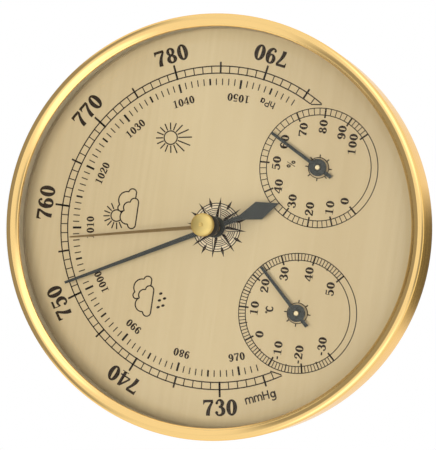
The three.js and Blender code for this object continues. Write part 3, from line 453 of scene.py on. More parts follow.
def dial_finish():
    """Pale gold lacquer over faint level brush lines and slow clouding."""
    material, tree = fresh("dial_gold")
    lines = grain(tree, 700, (0.02, 1, 1), detail=3.0)
    cloud = grain(tree, 26, (0.35, 1, 1), detail=1.0)
    colour = between(tree, cloud, tone(207, 186, 144), tone(216, 196, 153))
    streaks = between(tree, lines, tone(249, 247, 243), tone(255, 255, 255))
    mixed = wire(tree, "ShaderNodeMix", {0: 1.0, 6: colour, 7: streaks},
                 data_type="RGBA", blend_type="MULTIPLY")
    relief = wire(tree, "ShaderNodeBump", {"Strength": 0.05, "Distance": 0.00001, "Height": lines})
    skin = wire(tree, "ShaderNodeBsdfPrincipled", {
        "Base Color": mixed.outputs[2], "Metallic": 0.12,
        "Roughness": between(tree, lines, 0.48, 0.6), "Normal": relief,
    })
    wire(tree, "ShaderNodeOutputMaterial", {"Surface": skin})
    return material


def glass_finish():
    """Clear glass with a trace of waviness that lets lamps through to the dial."""
    material, tree = fresh("clear_glass")
    wave = wire(tree, "ShaderNodeBump", {
        "Strength": 0.02, "Distance": 0.0001, "Height": grain(tree, 40, detail=1.0),
    })
    clear = wire(tree, "ShaderNodeBsdfPrincipled", {
        "Base Color": (1.0, 1.0, 1.0, 1.0), "Roughness": 0.0, "IOR": 1.22,
        "Transmission Weight": 1.0, "Normal": wave,
    })
    shadow = wire(tree, "ShaderNodeLightPath").outputs["Is Shadow Ray"]
    open_air = wire(tree, "ShaderNodeBsdfTransparent", {"Color": (0.97, 0.97, 0.97, 1.0)})
    mixed = wire(tree, "ShaderNodeMixShader", {0: shadow, 1: clear, 2: open_air})
    wire(tree, "ShaderNodeOutputMaterial", {"Surface": mixed})
    return material


GOLD_EDGE = tone(250, 222, 160)
RIM_GOLD = finish("rim_gold", tone(249, 210, 138), 1.0, (0.12, 0.18), 1400, 0.03, 0.015,
                  turned=True, edge=GOLD_EDGE)
KNOB_GOLD = finish("knob_gold", tone(232, 207, 134), 1.0, (0.5, 0.6), 3200, 0.05, 0.06,
                   turned=True, edge=GOLD_EDGE)
BRASS = finish("brass", tone(216, 176, 98), 1.0, (0.28, 0.4), 2400, 0.08, 0.08)
HAND_BRASS = finish("hand_brass", tone(188, 156, 106), 1.0, (0.3, 0.42), 2400, 0.08, 0.08)
STEEL = finish("steel", tone(176, 178, 180), 1.0, (0.3, 0.42), 2400, 0.06, 0.08, stretch=(1, 1, 0.1))
BRONZE = finish("spring_bronze", tone(190, 140, 88), 1.0, (0.32, 0.45), 2200, 0.1, 0.08)
BIMETAL = finish("bimetal", tone(150, 146, 138), 1.0, (0.35, 0.5), 2200, 0.1, 0.08)
PLASTIC = finish("black_plastic", tone(30, 31, 33), 0.0, (0.5, 0.66), 4200, 0.15, 0.5, 0.00006)
RUBBER = finish("black_rubber", tone(24, 24, 25), 0.0, (0.7, 0.88), 2600, 0.2, 0.3, 0.00005)
SLATE = finish("slate_lacquer", tone(60, 62, 57), 0.1, (0.45, 0.58), 3000, 0.1, 0.1)
GUNMETAL = finish("gunmetal", tone(70, 66, 58), 0.6, (0.4, 0.52), 2600, 0.1, 0.08)
PIN_BRASS = finish("pin_brass", tone(246, 226, 178), 0.3, (0.4, 0.5), 2600, 0.03, 0.05)
SPACER_GOLD = finish("spacer_gold", tone(206, 184, 144), 0.2, (0.5, 0.62), 2600, 0.06, 0.1)
# Grey-brown of the ring under the rim's curl: painted shade for the shadow in the gap there
SHADE_RING_GREY = finish("shade_ring_grey", tone(176, 162, 132), 0.0, (0.5, 0.66), 2600, 0.08, 0.1)
INK = finish("dial_ink", tone(46, 34, 22), 0.0, (0.5, 0.65), 5200, 0.15, 0.1, gloss=0.2)
PALE_INK = finish("pale_ink", tone(226, 208, 172), 0.0, (0.5, 0.65), 5200, 0.05, 0.1)
DIAL_GOLD = dial_finish()
GLASS = glass_finish()

# Carried-over pieces take the finish of their slot
SLOT_FINISH = {
    "black_plastic": PLASTIC, "gold_rim": RIM_GOLD, "dial_metal": DIAL_GOLD, "front_glass": GLASS,
    "brass": BRASS, "steel": STEEL, "spring_bronze": BRONZE, "bimetal": BIMETAL,
    "black_pointer": SLATE,
}
for subpart in frame["record"]["subparts"]:
    node = frame["nodes"][subpart["node"]]
    node.data.materials.clear()
    node.data.materials.append(SLOT_FINISH[subpart["material_slot"]])
for pin in ("thermo_arbor", "hygro_arbor"):
    frame["nodes"][pin].data.materials[0] = PIN_BRASS
for dark in ("set_collar", "spring_washer", "pointer_collet", "pinion_arbor"):
    frame["nodes"][dark].data.materials[0] = GUNMETAL


# Case

def gold_rim():
    """Rolled sheet: straight skirt, round crest, slope that curls under inside, and a lip on the glass."""
    crest, outer, lip = RIM_R - RIM_CREST, RIM_TOP - RIM_BEAD, POT_RIM + SEAT_GAP
    inner, under = RIM_TOP - RIM_SLOPE, OPENING_R + RIM_CURL
    run = crest - OPENING_R - RIM_EDGE
    profile = [(RIM_R - RIM_SHEET, SKIRT_BACK), (RIM_R - RIM_EASE, SKIRT_BACK)]
    profile.append((RIM_R, SKIRT_BACK + RIM_EASE))
    profile += arc(crest, outer, RIM_CREST, RIM_BEAD, 0, 90, 20)
    for i in range(1, 13):
        share = i / 12
        profile.append((crest - run * share, RIM_TOP - RIM_SLOPE * (0.3 * share + 0.7 * share ** 2)))
    profile += arc(OPENING_R + RIM_EDGE, inner - RIM_EDGE_DROP, RIM_EDGE, RIM_EDGE_DROP, 120, 180, 6)
    profile += arc(under, inner - RIM_CURL, RIM_CURL, RIM_CURL, 180, 270, 8)
    profile += [(under, lip), (under + RIM_LIP, lip), (under + RIM_LIP, inner - RIM_EDGE_DROP - RIM_LIP)]
    profile += [(crest, RIM_TOP - RIM_SHEET), (RIM_R - RIM_SHEET, outer - RIM_LIP)]
    return lathe(profile, WIDE, ring=True)


def lens_seal():
    """Grey-brown ring between the lens and the rim's curl; painted shade that stands in for the shadow in the
    gap under the curl.
    """
    lip, top = POT_RIM + SEAT_GAP, RIM_TOP - RIM_SLOPE - SHADE_RING_DROP
    inner, outer = OPENING_R + SHADE_RING_INSET, OPENING_R + RIM_CURL
    profile = [(inner, lip), (inner, top - SHADE_RING_EASE), (inner + SHADE_RING_EASE, top)]
    return lathe(profile + [(outer, top), (outer, lip)], WIDE, ring=True)


def spacer():
    profile = [(OPENING_R, SPACER_BACK), (SPACER_R, SPACER_BACK), (SPACER_R, SPACER_TOP),
               (OPENING_R, SPACER_TOP)]
    return lathe(profile, WIDE, ring=True)


def glass_inside(radius):
    crown = GLASS_TOP - GLASS_THICK
    rise = crown - GLASS_EDGE
    sphere = (GLASS_R ** 2 + rise ** 2) / (2 * rise)
    return crown - sphere + math.sqrt(sphere ** 2 - radius ** 2)


def domed_glass():
    radii = [GLASS_BORE + (GLASS_R - GLASS_BORE) * i / 40 for i in range(41)]
    inside = [(r, glass_inside(r)) for r in radii]
    outside = [(r, z + GLASS_THICK) for r, z in reversed(inside)]
    return lathe(inside + outside, WIDE, ring=True)


def keyhole():
    half = KEYHOLE_NECK / 2
    spread = math.degrees(math.asin(half / KEYHOLE_R))
    entry = arc(0, KEYHOLE_Y, KEYHOLE_R, KEYHOLE_R, 90 + spread, 450 - spread, 40)
    return entry + arc(0, KEYHOLE_Y + KEYHOLE_DROP, half, half, 0, 180, 16)


def hanger_outline(inset=0.0):
    """Long round plate round the keyhole, drawn in from its edge."""
    half = HANGER_HALF - inset
    top = arc(0, KEYHOLE_Y + HANGER_RISE, half, half, 0, 180, 24)
    return top + arc(0, KEYHOLE_Y - HANGER_DROP, half, half, 180, 360, 24)


def plug(radius, low, high):
    return lathe([(0, low), (radius, low), (radius, high), (0, high)])


def pot():
    """Moulded pot with rounded back, stop rib, dial ledge, bosses and its openings."""
    ledge = DIAL_BACK - SEAT_GAP
    stop = SKIRT_BACK - SEAT_GAP
    profile = [(0, POT_BACK)]
    profile += arc(POT_R - BACK_ROUND, BACK_ROUND, BACK_ROUND, BACK_ROUND, -90, 0, 14)
    profile += [(POT_R, stop - POT_STOP), (POT_STOP_R, stop - POT_STOP), (POT_STOP_R, stop), (POT_R, stop)]
    profile += [(POT_R, POT_RIM), (POT_RIM_BORE, POT_RIM), (POT_RIM_BORE, ledge)]
    profile += [(LEDGE_R, ledge), (LEDGE_R, ledge - LEDGE_EDGE), (POT_BORE, ledge - LEDGE_DEPTH)]
    profile += arc(POT_BORE - FLOOR_ROUND, POT_FLOOR + FLOOR_ROUND, FLOOR_ROUND, FLOOR_ROUND, 0, -90, 8)
    profile += [(0, POT_FLOOR)]
    body = mesh_of(lathe(profile, WIDE))
    outside, within, inside = -1, 1, 5  # levels behind the back, in it and in front of it
    screws = arc(0, CAPSULE_Y, SCREW_CIRCLE, SCREW_CIRCLE, 30, 270, 2)
    boss = plug(BOSS_R, within, BOSS_TOP)
    pads = [moved(boss, x, y) for x, y in screws] + [slab([hanger_outline(-2.0)], within, BOSS_TOP)]
    body = carved(body, *(mesh_of(pad) for pad in pads), operation="UNION")
    sink, hole = SCREW_HEAD_R + SEAT_GAP, SCREW_R + RUN_GAP
    seat = SCREW_SINK + SCREW_HEAD + SEAT_GAP
    drill = lathe([(0, outside), (sink, outside), (sink, seat), (hole, seat), (hole, inside), (0, inside)])
    holes = [moved(drill, x, y) for x, y in screws]
    rivet_hole = plug(RIVET_R + RUN_GAP, outside, inside)
    holes += [moved(rivet_hole, x, KEYHOLE_Y) for x in (-RIVET_X, RIVET_X)]
    holes.append(moved(plug(GROMMET_R + SEAT_GAP, outside, inside), 0, CAPSULE_Y))
    pocket = slab([hanger_outline(-SEAT_GAP)], outside, HANGER_TOP + SEAT_GAP)
    window = slab([hanger_outline(HANGER_SEAT)], outside, inside)
    half = (VENT_LENGTH - VENT_WIDTH) / 2
    end = VENT_WIDTH / 2
    slot = arc(0, half, end, end, 0, 180, 10) + arc(0, -half, end, end, 180, 360, 10)
    vent = slab([slot], outside, inside)
    vents = marks(vent, PLASTIC, (0, 0, 0), 13, -45, -22.5, VENT_CIRCLE, VENT_CIRCLE + 1, 1)
    return carved(body, mesh_of(pocket), mesh_of(window), mesh_of(together(holes)), vents)


def hanger():
    """Sheet steel let into the back, with the keyhole and its two rivet holes."""
    hole = RIVET_R + RUN_GAP
    holes = [keyhole()] + [circle(x, KEYHOLE_Y, hole, hole, 24) for x in (-RIVET_X, RIVET_X)]
    return eased(mesh_of(slab([hanger_outline()] + holes, HANGER_BACK, HANGER_TOP)), 0.15)


def hanger_rivets():
    """Rivets with a low round head and a spread end inside the pot."""
    head, spread = RIVET_BACK + RIVET_HEAD, RIVET_END - RIVET_HEAD
    profile = arc(0, head, RIVET_HEAD_R, RIVET_HEAD, -90, 0, 10) + [(RIVET_R, head), (RIVET_R, spread)]
    profile += arc(0, spread, RIVET_HEAD_R, RIVET_HEAD, 0, 90, 10)
    rivet = lathe(profile)
    return mesh_of(together(moved(rivet, x, KEYHOLE_Y) for x in (-RIVET_X, RIVET_X)))


def grommet():
    """Soft ring with rounded lips round the way in to the calibrating screw."""
    lip = 0.6
    low, high = GROMMET_BACK + lip, GROMMET_TOP - lip
    corners = ((GROMMET_R - lip, low, -90), (GROMMET_R - lip, high, 0), (ACCESS_R + lip, high, 90),
               (ACCESS_R + lip, low, 180))
    profile = [point for x, y, start in corners for point in arc(x, y, lip, lip, start, start + 90, 6)]
    return mesh_of(moved(lathe(profile, ring=True), 0, CAPSULE_Y))


def back_screws():
    """Slotted screws in the back of the case, repeated round the capsule."""
    shank = [(0, SCREW_TIP), (SCREW_R, SCREW_TIP), (SCREW_R, SCREW_SINK + SCREW_HEAD)]
    rim = [(SCREW_HEAD_R, SCREW_SINK + SCREW_HEAD), (SCREW_HEAD_R, SCREW_SINK + 0.2),
           (SCREW_HEAD_R - 0.2, SCREW_SINK), (0, SCREW_SINK)]
    body = mesh_of(lathe((shank + rim)[::-1]))
    wide, half = 2 * SCREW_HEAD_R, SCREW_SLOT / 2
    groove = [(-wide, -half), (wide, -half), (wide, half), (-wide, half)]
    body = carved(body, mesh_of(slab([groove], SCREW_SINK - 1, SCREW_SINK + 0.45)))
    points = [(v.co.x / MM, v.co.z / MM, -v.co.y / MM) for v in body.vertices]
    faces = [tuple(face.vertices) for face in body.polygons]
    return marks((points, faces), STEEL, (0, CAPSULE_Y, 0), 3, 60, 120, SCREW_CIRCLE, SCREW_CIRCLE + 1, 1)


piece("rim", [mesh_of(gold_rim())], RIM_GOLD, "case", ["bezel"])
# Ring of painted shade under the rim's curl
piece("lens_seal", [mesh_of(lens_seal())], SHADE_RING_GREY, "case")
piece("dome", [mesh_of(domed_glass())], GLASS, "case", ["front_glass"])
piece("spacer_ring", [mesh_of(spacer())], SPACER_GOLD, "case", ["glass_spacer"])
piece("back_pot", [pot()], PLASTIC, "case", ["case_pot"])
piece("hanger", [hanger()], STEEL, "case", ["hanger_plate"])
piece("hanger_rivets", [hanger_rivets()], STEEL, "case", ["hanger_rivet_1", "hanger_rivet_2"])
piece("grommet", [grommet()], RUBBER, "case", ["access_grommet"])
piece("back_screws", [back_screws()], STEEL, "case",
      ["case_screw_1", "case_screw_2", "case_screw_3"])


def dial():
    outline = circle(0, 0, DIAL_R, DIAL_R, WIDE)
    sub_holes = [circle(x, SUB_Y, SUB_DIAL_BORE, SUB_DIAL_BORE) for x in (-SUB_X, SUB_X)]
    return slab([outline, circle(0, 0, DIAL_BORE, DIAL_BORE)] + sub_holes, DIAL_BACK, DIAL_FACE)


piece("dial_sheet", [mesh_of(dial())], DIAL_GOLD, "case", ["dial_plate"])


# Capsule of two wavy sheets, kept still as one piece; in the instrument its front sheet moves with the post
# while its back sheet stays

def corrugated_capsule():
    """Two sheets with round waves, joined at their edge."""
    middle = (CAPSULE_BACK + CAPSULE_FRONT) / 2
    waves = []
    for i in range(57):
        dip = WAVE_DEPTH * (1 - math.cos(math.pi * i / 8)) / 2
        waves.append((CAPSULE_BOSS_R + WAVE_WIDTH * i / 8, dip))
    profile = [(0, CAPSULE_BACK)] + [(radius, CAPSULE_BACK + dip) for radius, dip in waves]
    profile += arc(CAPSULE_R - 0.3, middle, 0.3, 0.3, -90, 90, 8)
    profile += [(radius, CAPSULE_FRONT - dip) for radius, dip in reversed(waves)] + [(0, CAPSULE_FRONT)]
    return mesh_of(moved(lathe(profile, 96), y=CAPSULE_Y))


capsule = piece("capsule", [corrugated_capsule()], BRONZE, None, ["aneroid_capsule"])
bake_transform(capsule)


# Knob and pointers

KNOB_NECK_TOP = BUSH_TOP + 4.2
KNOB_NECK_R = 1.5
KNOB_FLARE, KNOB_EDGE = 1.3, 0.9


def knob_head():
    """Turned head: round edge, low dome and a centre spot."""
    ease = 0.2
    rim = KNOB_NECK_TOP + KNOB_FLARE
    profile = [(0, rim)] + arc(KNOB_R - ease, rim + ease, ease, ease, -90, 0, 5)
    profile += arc(0, rim + KNOB_EDGE, KNOB_R, KNOB_TOP - rim - KNOB_EDGE, 0, 80, 24)
    return lathe(profile + [(0.5, KNOB_TOP - 0.1), (0.42, KNOB_TOP - 0.26), (0, KNOB_TOP - 0.34)])


def knob_stem():
    """Dark stem with a slim neck that flares out under the head; its darkness is partly painted shade,
    standing in for the shadow under the head.
    """
    neck = BUSH_TOP + SEAT_GAP
    profile = [(0, STEM_END), (STEM_R, STEM_END), (STEM_R, neck)]
    profile += [(KNOB_NECK_R - 0.1, neck), (KNOB_NECK_R, neck + 0.1)]
    profile += arc(KNOB_R, KNOB_NECK_TOP, KNOB_R - KNOB_NECK_R, KNOB_FLARE, 180, 100, 16)
    return lathe(profile + [(0, KNOB_NECK_TOP + KNOB_FLARE)])


def flanged_bush():
    bore, flange = STEM_R + RUN_GAP, BUSH_TOP - BUSH_FLANGE
    profile = [(bore, BUSH_BACK), (BUSH_R, BUSH_BACK), (BUSH_R, flange), (BUSH_FLANGE_R, flange)]
    profile += [(BUSH_FLANGE_R, BUSH_TOP - 0.2), (BUSH_FLANGE_R - 0.2, BUSH_TOP), (bore, BUSH_TOP)]
    return lathe(profile, ring=True)


piece("knob", [mesh_of(knob_head())], KNOB_GOLD, "set_hand", ["set_knob"])
# The dark gunmetal of the stem, its flare and the bush stands partly for dark metal and partly for painted
# shade under the knob's head
piece("knob_stem", [mesh_of(knob_stem())], GUNMETAL, "set_hand", ["set_knob"])
piece("bush", [mesh_of(flanged_bush())], GUNMETAL, "case", ["glass_bush"])


def on_hub(blade, radius, bore, low, high, ease, x=0.0, y=0.0):
    """The blade joined to a round hub, bored through and eased."""
    hub = mesh_of(moved(plug(radius, low, high), x, y))
    drill = mesh_of(moved(plug(bore, low - 1, high + 1), x, y))
    return eased(carved(carved(mesh_of(blade), hub, operation="UNION"), drill), ease)


def pointer_blade():
    """Pointed blade with a diamond tail and a round hub on its collet."""
    right = [(TAIL_HALF, -TAIL_SHOULDER), (TAIL_NECK_HALF, -TAIL_NECK), (POINTER_ROOT, 0),
             (POINTER_TIP, POINTER_REACH)]
    outline = both_sides(right) + [(0, -POINTER_TAIL)]
    blade = moved(slab([outline], POINTER_BACK, POINTER_TOP), turn=POINTER_TURN)
    return on_hub(blade, HUB_R, HUB_BORE, POINTER_BACK, POINTER_TOP, 0.1)


def set_blade():
    """Slim brass hand that falls from its hub to stay under the dome."""
    low = SET_HAND_TOP - SHEET
    slope = (SET_HAND_TOP + 0.8 - glass_inside(SET_REACH)) / (SET_REACH - SET_START)
    edge = both_sides([(SET_ROOT, SET_START), (SET_TIP, SET_REACH)])
    points, faces = slab([edge], low, SET_HAND_TOP)
    points = [(x, y, z - slope * (y - SET_START)) for x, y, z in points]
    return on_hub(moved((points, faces), turn=SET_TURN), SET_HUB_R, SET_HUB_BORE, low, SET_HAND_TOP, 0.08)


def sub_blade(x, turn):
    """Short blunt pointer with a raised round hub."""
    edge = both_sides([(SUB_ROOT, -SUB_TAIL), (SUB_TIP, SUB_REACH)])
    blade = moved(slab([edge], SUB_BACK, SUB_BACK + SHEET), x, SUB_Y, turn=turn)
    return on_hub(blade, SUB_HUB_R, SUB_HUB_BORE, SUB_BACK, SUB_TOP, 0.12, x, SUB_Y)


piece("pointer", [pointer_blade()], SLATE, "pointer", ["main_pointer"])
piece("set_pointer", [set_blade()], HAND_BRASS, "set_hand", ["set_hand"])
piece("thermo_hand", [sub_blade(-SUB_X, THERMO_TURN)], SLATE, "thermo", ["thermo_pointer"])
piece("hygro_hand", [sub_blade(SUB_X, HYGRO_TURN)], SLATE, "hygro", ["hygro_pointer"])


# Figures and signs, drawn one unit high

WEIGHT = 0.05  # added to the strokes of figures


def ribbon(spine, weight=0.0):
    """Outline of a stroke through (x, y, width) points, curved between them."""
    ends = [spine[0]] + list(spine) + [spine[-1]]
    path = []
    for a, b, c, d in zip(ends, ends[1:], ends[2:], ends[3:]):
        for i in range(7):
            t = i / 7
            path.append(tuple(
                (2 * q + (r - p) * t + (2 * p - 5 * q + 4 * r - s) * t ** 2
                 + (3 * q - p - 3 * r + s) * t ** 3) / 2
                for p, q, r, s in zip(a, b, c, d)))
    path.append(tuple(spine[-1]))
    left, right = [], []
    for i, (x, y, width) in enumerate(path):
        width += weight
        before, after = path[max(i - 1, 0)], path[min(i + 1, len(path) - 1)]
        dx, dy = after[0] - before[0], after[1] - before[1]
        size = math.hypot(dx, dy) or 1.0
        nx, ny = -dy / size * width / 2, dx / size * width / 2
        left.append((x + nx, y + ny))
        right.append((x - nx, y - ny))
    return left + right[::-1]


def band(spine, low, high):
    """Solid strip along a stroke, joined crosswise so that tight bends stay whole."""
    outline = ribbon(spine)
    count = len(outline) // 2
    sides = outline[:count] + outline[count:][::-1]
    points = [(x, y, level) for level in (low, high) for x, y in sides]
    corners = [0, count, 3 * count, 2 * count]
    faces = [tuple(corners), tuple(i + count - 1 for i in corners)]
    for i in range(count - 1):
        for a, b in zip(corners, corners[1:] + corners[:1]):
            faces.append((a + i, a + i + 1, b + i + 1, b + i))
    return points, faces


def stroke(*spine):
    return [ribbon(spine, WEIGHT)]


def line(*spine, width=0.16):
    return [ribbon([(x, y, width) for x, y in spine])]


def ring(x, y, rx, ry, inner_x, inner_y):
    return [circle(x, y, rx, ry, 28), circle(x, y, inner_x - WEIGHT, inner_y - WEIGHT, 28)]


def ball(x, y, radius):
    return [circle(x, y, radius, radius, 16)]


SIX = [
    stroke((.21, .87, .05), (.11, .955, .06), (-.03, .93, .11), (-.17, .77, .18), (-.225, .5, .2),
           (-.2, .3, .16)),
    ring(.01, .315, .32, .325, .13, .265),
    ball(.18, .845, .085),
]
FIGURES = {
    "0": [ring(0, .5, .35, .515, .135, .44)],
    "1": [[[(-.27, 0), (.27, 0), (.27, .05), (.11, .075), (.11, 1), (.03, 1), (-.28, .87), (-.28, .82),
            (-.09, .86), (-.09, .075), (-.27, .05)]]],
    "2": [
        stroke((-.24, .7, .09), (-.19, .86, .08), (-.03, .965, .075), (.14, .89, .16), (.195, .72, .2),
               (.1, .52, .16), (-.1, .3, .1), (-.27, .08, .06)),
        ball(-.21, .72, .095),
        [[(-.31, 0), (.27, 0), (.335, .27), (.285, .27), (.24, .19), (.16, .17), (-.12, .17), (-.29, .06)]],
    ],
    "3": [
        stroke((-.21, .83, .05), (-.09, .955, .07), (.07, .94, .13), (.165, .78, .19), (.09, .6, .12),
               (-.07, .54, .06)),
        stroke((-.07, .54, .06), (.1, .51, .11), (.215, .35, .2), (.2, .17, .18), (.05, .035, .09),
               (-.13, .045, .07), (-.23, .14, .05)),
        ball(-.19, .79, .09),
        ball(-.21, .185, .1),
    ],
    "4": [
        [[(.03, .03), (.23, .03), (.23, 1), (.1, 1), (.03, .9)]],
        stroke((.1, .97, .07), (-.12, .64, .07), (-.33, .3, .07)),
        [[(-.36, .235), (.35, .235), (.35, .325), (-.36, .325)]],
        [[(-.1, 0), (.35, 0), (.35, .05), (-.1, .05)]],
    ],
    "5": [
        [[(-.215, 1), (.27, 1), (.23, .86), (-.2, .86)]],
        [[(-.235, .5), (-.18, .52), (-.16, 1), (-.215, 1)]],
        stroke((-.21, .52, .05), (-.07, .605, .08), (.1, .595, .15), (.205, .42, .2), (.19, .2, .19),
               (.04, .04, .09), (-.13, .045, .07), (-.23, .14, .05)),
        ball(-.21, .18, .095),
    ],
    "6": SIX,
    "7": [
        [[(-.31, .7), (-.26, .7), (-.235, .79), (-.17, .835), (.33, .835), (.33, .94), (.3, 1), (-.31, 1)]],
        stroke((.29, .88, .08), (.1, .55, .13), (0, .25, .19), (-.02, 0, .21)),
    ],
    "8": [ring(0, .745, .27, .26, .12, .2), ring(0, .27, .33, .28, .14, .21)],
    "9": [[[(-x, 1 - y) for x, y in loop] for loop in shape] for shape in SIX],
    "-": [[[(-.14, .32), (.18, .32), (.18, .5), (-.14, .5)]]],
}
SIGNS = {
    "m": [line((-.42, 0), (-.42, .72)),
          line((-.42, .48), (-.35, .63), (-.22, .7), (-.07, .64), (0, .48), (0, 0)),
          line((0, .48), (.07, .63), (.2, .7), (.35, .64), (.42, .48), (.42, 0))],
    "H": [line((-.3, 0), (-.3, 1)), line((.3, 0), (.3, 1)), line((-.3, .52), (.3, .52))],
    "g": [ring(0, .36, .32, .37, .19, .24),
          line((.27, .72), (.27, .1), (.25, -.12), (.12, -.25), (-.08, -.27), (-.25, -.2))],
    "h": [line((-.25, 0), (-.25, 1)),
          line((-.25, .48), (-.16, .63), (0, .7), (.17, .64), (.25, .48), (.25, 0))],
    "P": [line((-.25, 0), (-.25, 1)),
          line((-.25, .94), (.05, .94), (.22, .86), (.28, .72), (.22, .58), (.05, .5), (-.25, .5))],
    "a": [ring(-.02, .35, .3, .37, .17, .24), line((.24, .72), (.24, 0))],
    "C": [stroke((.28, .76, .1), (.14, .94, .13), (-.08, .94, .17), (-.28, .72, .21), (-.3, .4, .22),
                 (-.2, .12, .19), (.02, .03, .14), (.2, .09, .12), (.29, .25, .1))],
    "o": [ring(.1, .88, .17, .17, .1, .1)],
    "%": [ring(-.24, .74, .18, .24, .09, .16), ring(.24, .26, .18, .24, .09, .16),
          line((.22, .98), (-.22, .02), width=0.07)],
}
SIGN_WIDTH = {"m": 1.06, "H": .86, "g": .8, "h": .74, "P": .8, "a": .7, "C": .8, "o": .5, "%": .9,
              "-": .5}
FIGURE_WIDTH = .757


def lettering(text, x, y, height, turn=0.0, signs=False, wide=1.0):
    """Figures or signs set on a line about a point, turned anticlockwise."""
    drawings = SIGNS if signs else FIGURES
    widths = [SIGN_WIDTH.get(mark, FIGURE_WIDTH) for mark in text]
    pen = -sum(widths) / 2
    shapes = []
    for mark, width in zip(text, widths):
        for layer, loops in enumerate(drawings[mark]):
            sized = [[((px + pen + width / 2) * height * wide, (py - .5) * height) for px, py in loop]
                     for loop in loops]
            shapes.append(slab(sized, 0, PRINT + .003 * layer))
        pen += width
    return moved(together(shapes), x, y, DIAL_FACE, turn)


def round_label(text, degrees, radius, height, outward, signs=False):
    """Lettering at an angle clockwise from the top of the dial."""
    x, y = radius * math.sin(math.radians(degrees)), radius * math.cos(math.radians(degrees))
    return lettering(text, x, y, height, -degrees if outward else 180 - degrees, signs)


def circle_line(x, y, radius, width, steps=128):
    loops = [circle(x, y, edge, edge, steps) for edge in (radius + width / 2, radius - width / 2)]
    return moved(slab(loops, 0, PRINT), z=DIAL_FACE)


def arc_line(radius, width, reach):
    """Line round the dial's centre, to the same angle on both sides of the top."""
    outer = arc(0, 0, radius + width / 2, radius + width / 2, 90 - reach, 90 + reach, 160)
    inner = arc(0, 0, radius - width / 2, radius - width / 2, 90 + reach, 90 - reach, 160)
    return moved(slab([outer + inner], 0, PRINT), z=DIAL_FACE)


def drawn(points, width):
    return moved(band([(x, y, width) for x, y in points], 0, PRINT + .002), z=DIAL_FACE)


BAR = slab([[(-.5, 0), (.5, 0), (.5, 1), (-.5, 1)]], 0, PRINT + .006)
ON_DIAL = (0.0, 0.0, DIAL_FACE)


def ticks(step, low, high, top, per_unit, inner, outer, width, centre=ON_DIAL, lean=0.0):
    """Scale lines for every multiple of step between two readings."""
    first = math.ceil(low / step) * step
    count = int((high - first) // step) + 1
    start = (first - top) * per_unit - lean
    return marks(BAR, INK, centre, count, start, step * per_unit, inner, outer, width)


def pressure_scale():
    shapes = [arc_line(MMHG_OUTER, LINE, 122.7), arc_line(MMHG_INNER, LINE, 119.5)]
    for end in ([(-40.35, -22.7), (-40.9, -26.2)], [(40.55, -23.2), (40.9, -26.5)]):
        shapes.append(drawn(end, LINE))
    for reading in range(730, 791, 10):
        degrees = (reading - MMHG_TOP) * MMHG_TURN
        shapes.append(round_label(str(reading), degrees, MMHG_FIGURE_R, MMHG_FIGURE, abs(degrees) < 90))
    for reading in range(970, 1051, 10):
        degrees = (reading - HPA_TOP) * HPA_TURN
        shapes.append(round_label(str(reading), degrees, HPA_FIGURE_R, HPA_FIGURE, abs(degrees) < 90))
    shapes.append(round_label("mmHg", -113.3, 52.6, 2.6, False, signs=True))
    shapes.append(round_label("hPa", 104.3, 40.4, 2.1, False, signs=True))
    lines = [
        ticks(1, 724, 796, MMHG_TOP, MMHG_TURN, MMHG_INNER, MMHG_OUTER, .3),
        ticks(5, 725, 795, MMHG_TOP, MMHG_TURN, 46.8, 50.2, .55),
        ticks(10, 730, 790, MMHG_TOP, MMHG_TURN, 46.5, 51.2, .6),
        ticks(1, 967, 1059, HPA_TOP, HPA_TURN, HPA_INNER, HPA_OUTER, .32),
        ticks(5, 970, 1055, HPA_TOP, HPA_TURN, HPA_INNER, HPA_OUTER, .56),
        ticks(10, 970, 1050, HPA_TOP, HPA_TURN, HPA_INNER - .7, HPA_OUTER, .62),
    ]
    return [mesh_of(together(shapes))] + lines


def rosette(x):
    """Small ring with eight studs under a sub-dial's hub."""
    return [mesh_of(circle_line(x, SUB_Y, ROSETTE_R, .25, 48)),
            marks(BAR, INK, (x, SUB_Y, DIAL_FACE), 8, 0, 45, ROSETTE_R, ROSETTE_R + .95, .35)]


def sub_figures(x, places):
    """The two rings of a small scale and its figures."""
    shapes = [circle_line(x, SUB_Y, radius, SUB_LINE) for radius in (SUB_OUTER, SUB_INNER)]
    for text, spot in places.items():
        shapes.append(lettering(text, *spot, SUB_FIGURE, wide=SUB_FIGURE_WIDE))
    return shapes


def thermo_scale():
    centre = (-SUB_X, SUB_Y, DIAL_FACE)
    places = {"10": (-22.4, -15.1), "0": (-29.9, -17.8), "-10": (-33.9, -24.0), "-20": (-34.2, -30.5),
              "-30": (-30.7, -37.1), "20": (-15.3, -17.3), "30": (-10.9, -22.6), "40": (-9.9, -30.1),
              "50": (-13.4, -37.1)}
    shapes = sub_figures(-SUB_X, places) + [lettering("oC", -22.4, -19.7, 2.15, signs=True)]
    per_degree = 270 / 80
    steps = ((1, SUB_INNER, .25), (5, 15.5, .34), (10, SUB_LONG, .5))
    return [mesh_of(together(shapes))] + [
        ticks(step, -30, 50, 10, per_degree, inner, SUB_OUTER, width, centre, SUB_LEAN)
        for step, inner, width in steps]


def hygro_scale():
    centre = (SUB_X, SUB_Y, DIAL_FACE)
    places = {"50": (21.7, -15.4), "40": (14.9, -17.0), "30": (11.0, -21.8), "20": (9.4, -27.4),
              "10": (10.6, -33.4), "0": (13.2, -37.6), "60": (28.4, -16.9), "70": (32.7, -22.0),
              "80": (34.4, -27.9), "90": (33.4, -33.8), "100": (30.3, -37.5)}
    shapes = sub_figures(SUB_X, places) + [lettering("%", 22.0, -19.85, 2.7, signs=True)]
    lines = []
    degrees = -sum(HUMIDITY_STEPS[:5]) - SUB_LEAN
    for step in HUMIDITY_STEPS:
        lines.append(marks(BAR, INK, centre, 4, degrees + step / 5, step / 5, SUB_INNER, SUB_OUTER, .25))
        lines.append(marks(BAR, INK, centre, 1, degrees, 0, SUB_LONG, SUB_OUTER, .5))
        degrees += step
    lines.append(marks(BAR, INK, centre, 1, degrees, 0, SUB_LONG, SUB_OUTER, .5))
    return [mesh_of(together(shapes))] + lines


# Symbols on the dial

